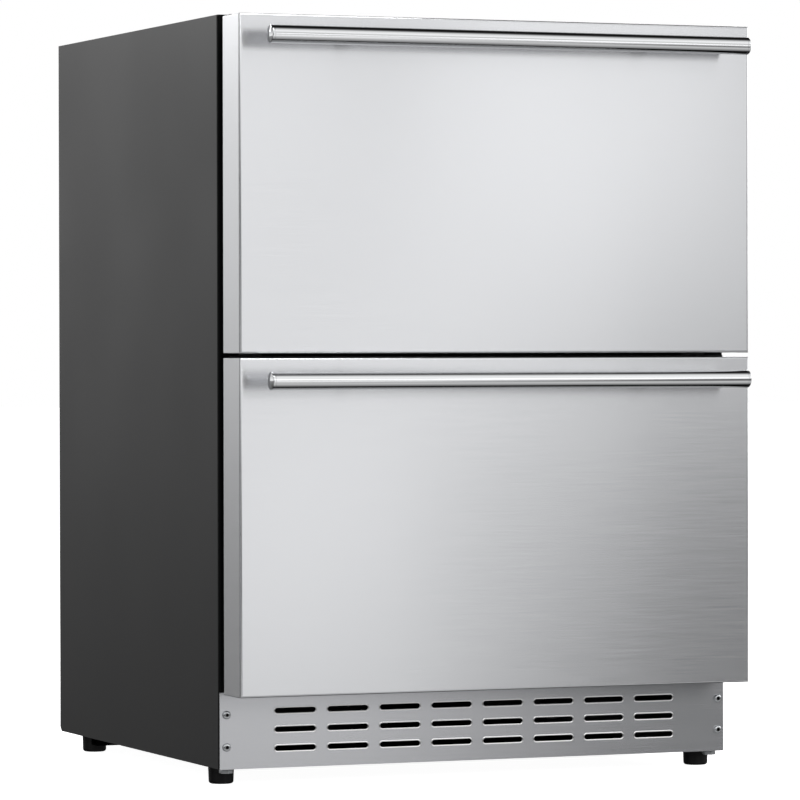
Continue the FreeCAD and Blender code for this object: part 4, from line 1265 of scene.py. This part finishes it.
@dataclass
class MachineBay:
    """The condensing unit behind the rear cover. Sizes in mm."""

    seam_width: float = 7.0
    seam_rise: float = 2.5
    seam_root: float = 1.0
    # Share of the seam's width that is flat on top
    seam_crown: float = 1 / 3
    seam_facets: int = 72
    shell_radius: float = 70.0
    plain: Sequence[EasedNode] = (
        EasedNode("compressor", PUMP_COAT, 0.5),
        EasedNode("compressor_mounts", SEAL_RUBBER, 1.2, 3),
        EasedNode("refrigerant_lines", COPPER),
        EasedNode("condenser_coil", FINS),
        EasedNode("condenser_fan_shroud", BLACK_ABS, 0.4),
        EasedNode("condenser_fan_motor", BLACK_ABS, 0.4),
        EasedNode("drain_tray", BLACK_ABS, 0.4),
        EasedNode("condenser_fan", BLACK_ABS, 0.3, body="condenser_rotor"),
        EasedNode("power_inlet", BLACK_ABS, 0.4),
    )

    def seam(self) -> None:
        """Runs the welded seam round the compressor shell."""
        low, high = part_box("compressor_mounts")
        shell_low, shell_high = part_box("compressor")
        start = (low + high) / 2
        start.z = (shell_low.z + shell_high.z) / 2
        half, crown = self.seam_width / 2, self.shell_radius + self.seam_rise
        flat = half * self.seam_crown
        inner, outer = self.shell_radius - self.seam_root, self.shell_radius + self.seam_root
        form = Form()
        form.lathe(((-half, inner), (-half, outer), (-flat, crown), (flat, crown), (half, outer),
                    (half, inner)), start, Axis.Z, self.seam_facets)
        form.piece("compressor_weld_seam", CABINET, BLACK_COAT)

    def build(self) -> None:
        """Builds the bay."""
        self.seam()
        for piece in self.plain:
            piece.build()


@dataclass
class SoftLight:
    """One rectangular studio light. Sizes in metres."""

    name: str
    place: tuple[float, float, float]
    target: tuple[float, float, float]
    width: float
    height: float
    power: float
    roll: float = 0.0

    def build(self) -> None:
        """Hangs the light; one rolled onto its corner fades gently to its sides."""
        lamp = bpy.data.lights.new(self.name, "AREA")
        lamp.shape = "RECTANGLE"
        lamp.size = self.width
        lamp.size_y = self.height
        lamp.energy = self.power
        thing = bpy.data.objects.new(self.name, lamp)
        thing.location = self.place
        aim = Vector(self.target) - Vector(self.place)
        turned = Matrix.Rotation(math.radians(self.roll), 3, "Z")
        thing.rotation_euler = (aim.to_track_quat("-Z", "Y").to_matrix() @ turned).to_euler()
        thing.visible_camera = False
        bpy.context.scene.collection.objects.link(thing)


@dataclass
class Studio:
    """Floor, lights, surroundings and the camera that matches the photograph.

    Sizes are in metres and degrees, and those of the lens and the sensor in mm.
    """

    floor_side: float = 60.0
    floor_tone: str = "#F2F2F2"
    floor_roughness: float = 0.9
    floor_glow: float = 0.97
    backdrop: float = 1.0
    white: str = "#FFFFFF"
    camera_target: tuple[float, float, float] = (-0.08954, -0.21625, 0.4098)
    camera_azimuth: float = -22.28
    camera_rise: float = 0.641
    camera_distance: float = 4.9346
    camera_roll: float = -0.108
    camera_reach: float = 100.0
    lens: float = 205.84
    sensor: float = 36.0
    # Brightness of the room by the turn from straight ahead of the front, up over the top, to the back
    room: Sequence[tuple[float, float]] = (
        (-180.0, 0.29), (-165.0, 0.03), (-130.0, 0.06), (-100.0, 0.0), (-82.0, 0.0), (-66.0, 0.30),
        (-35.0, 0.70), (-15.0, 0.10), (5.0, 0.15), (24.0, 0.95), (35.0, 1.15), (60.0, 0.80), (72.0, 0.28),
        (85.0, 0.02), (125.0, 0.0), (145.0, 0.20), (165.0, 0.29), (180.0, 1.14))
    # Watts of the bank of softboxes before the front, from the lowest row up; its lower right is left dark
    bank_rows: Sequence[Sequence[float]] = (
        (0.36, 0.22, 0.0, 0.0), (0.54, 0.43, 0.0, 0.0), (0.20, 0.40, 0.47, 0.28), (0.70, 0.50, 0.74, 0.37))
    bank_pitch: float = 0.4
    bank_side: float = 0.57
    bank_roll: float = 45.0
    bank_stagger: float = 0.02
    bank_place: tuple[float, float, float] = (0.4, -2.3, -0.2)
    lights: Sequence[SoftLight] = (
        SoftLight("high_front_softbox", (-0.1, -1.5, 2.8), (0.0, -0.1, 0.5), 0.9, 0.9, 26.0),
        SoftLight("high_back_softbox", (-0.5, 2.4, 2.5), (0.0, 0.0, 0.6), 1.0, 1.0, 26.0),
        SoftLight("left_back_softbox", (-1.2, 2.0, 1.5), (0.0, -0.1, 0.45), 0.9, 0.9, 5.0),
        SoftLight("right_back_softbox", (1.4, 2.2, 1.0), (0.0, 0.3, 0.4), 1.2, 1.0, 16.0),
        SoftLight("right_side_softbox", (2.4, 0.2, 1.1), (0.3, 0.1, 0.4), 1.2, 1.2, 18.0),
    )

    def floor(self) -> None:
        """Lays the plain pale floor, which glows but is in no reflection."""
        mesh = bpy.data.meshes.new("studio_floor")
        bm = bmesh.new()
        bmesh.ops.create_grid(bm, x_segments=1, y_segments=1, size=self.floor_side / 2)
        bm.to_mesh(mesh)
        bm.free()
        paper = bpy.data.materials.new("white_studio_paper")
        paper.use_nodes = True
        tree = paper.node_tree
        tree.nodes.clear()
        shader = add_node(tree, "ShaderNodeBsdfPrincipled",
                          {"Base Color": linear(self.floor_tone), "Roughness": self.floor_roughness,
                           "Emission Color": linear(self.white), "Emission Strength": self.floor_glow})
        add_node(tree, "ShaderNodeOutputMaterial", {"Surface": shader.outputs[0]})
        mesh.materials.append(paper)
        thing = bpy.data.objects.new("studio_floor", mesh)
        bpy.context.scene.collection.objects.link(thing)
        thing.visible_glossy = False
        thing.visible_diffuse = False
        thing.visible_shadow = False

    def surroundings(self) -> None:
        """Paints the room: white to the camera; to reflections bright before and behind, dark overhead."""
        world = bpy.data.worlds.new("studio_room")
        bpy.context.scene.world = world
        world.use_nodes = True
        tree = world.node_tree
        tree.nodes.clear()
        place = add_node(tree, "ShaderNodeTexCoord").outputs["Generated"]
        way = add_node(tree, "ShaderNodeSeparateXYZ", {0: place}).outputs
        ahead = add_node(tree, "ShaderNodeMath", {0: way["Y"], 1: -1.0}, operation="MULTIPLY").outputs[0]
        turn = add_node(tree, "ShaderNodeMath", {0: way["Z"], 1: ahead}, operation="ARCTAN2").outputs[0]
        share = add_node(tree, "ShaderNodeMapRange",
                         {"Value": turn, "From Min": -math.pi, "From Max": math.pi}).outputs[0]
        ramp = add_node(tree, "ShaderNodeValToRGB", {"Fac": share})
        peak = max(glow for _, glow in self.room)
        stops = ramp.color_ramp.elements
        for number, (angle, glow) in enumerate(self.room):
            spot = (angle + 180.0) / 360.0
            stop = stops.new(spot) if 0 < number < len(self.room) - 1 else stops[-1 if number else 0]
            stop.color = (glow / peak, glow / peak, glow / peak, 1.0)
        room = add_node(tree, "ShaderNodeBackground", {"Color": ramp.outputs["Color"], "Strength": peak})
        sheet = add_node(tree, "ShaderNodeBackground",
                         {"Color": linear(self.white), "Strength": self.backdrop})
        seen = add_node(tree, "ShaderNodeLightPath").outputs["Is Camera Ray"]
        mixed = add_node(tree, "ShaderNodeMixShader", {0: seen, 1: room.outputs[0], 2: sheet.outputs[0]})
        add_node(tree, "ShaderNodeOutputWorld", {"Surface": mixed.outputs[0]})

    def bank(self) -> None:
        """Hangs the bank of softboxes that the drawer fronts reflect.

        Each hangs on its corner, a little behind the last, so that their reflections merge.
        """
        x, y, z = self.bank_place
        for row, powers in enumerate(self.bank_rows):
            for column, power in enumerate(powers):
                if power:
                    step = (row * len(powers) + column) * self.bank_stagger
                    place = (x + column * self.bank_pitch, y - step, z + row * self.bank_pitch)
                    ahead = (place[0], 0.0, place[2])
                    SoftLight(f"front_softbox_{row}_{column}", place, ahead, self.bank_side, self.bank_side,
                              power, self.bank_roll).build()

    def camera(self) -> None:
        """Sets the camera to the photograph's angle and frame."""
        lens = bpy.data.cameras.new("photograph_camera")
        lens.lens = self.lens
        lens.sensor_width = self.sensor
        lens.sensor_fit = "HORIZONTAL"
        lens.clip_end = self.camera_reach
        thing = bpy.data.objects.new("photograph_camera", lens)
        turn = math.radians(self.camera_azimuth)
        rise = math.radians(self.camera_rise)
        back = Vector((math.sin(turn) * math.cos(rise), -math.cos(turn) * math.cos(rise), math.sin(rise)))
        thing.location = Vector(self.camera_target) + back * self.camera_distance
        level = (-back).to_track_quat("-Z", "Y").to_matrix()
        thing.rotation_euler = (level @ Matrix.Rotation(math.radians(self.camera_roll), 3, "Z")).to_euler()
        bpy.context.scene.collection.objects.link(thing)
        bpy.context.scene.camera = thing

    def build(self) -> None:
        """Sets up the studio."""
        self.floor()
        self.surroundings()
        self.bank()
        for light in self.lights:
            light.build()
        self.camera()
        bpy.context.scene.view_settings.view_transform = "Standard"


def main() -> None:
    """Builds the freezer and its studio."""
    logging.basicConfig(level=logging.INFO, format="%(message)s")
    CabinetShell().build()
    KickPlate().build()
    for corner in Corner:
        LevellingFoot(corner).build()
    ColdBox().build()
    MachineBay().build()
    TelescopicSlides().build()
    for tier in Tier:
        DrawerFront(tier).build()
        BarHandle(tier).build()
        DrawerBin(tier).build()
    Studio().build()


if __name__ == "__main__":
    main()
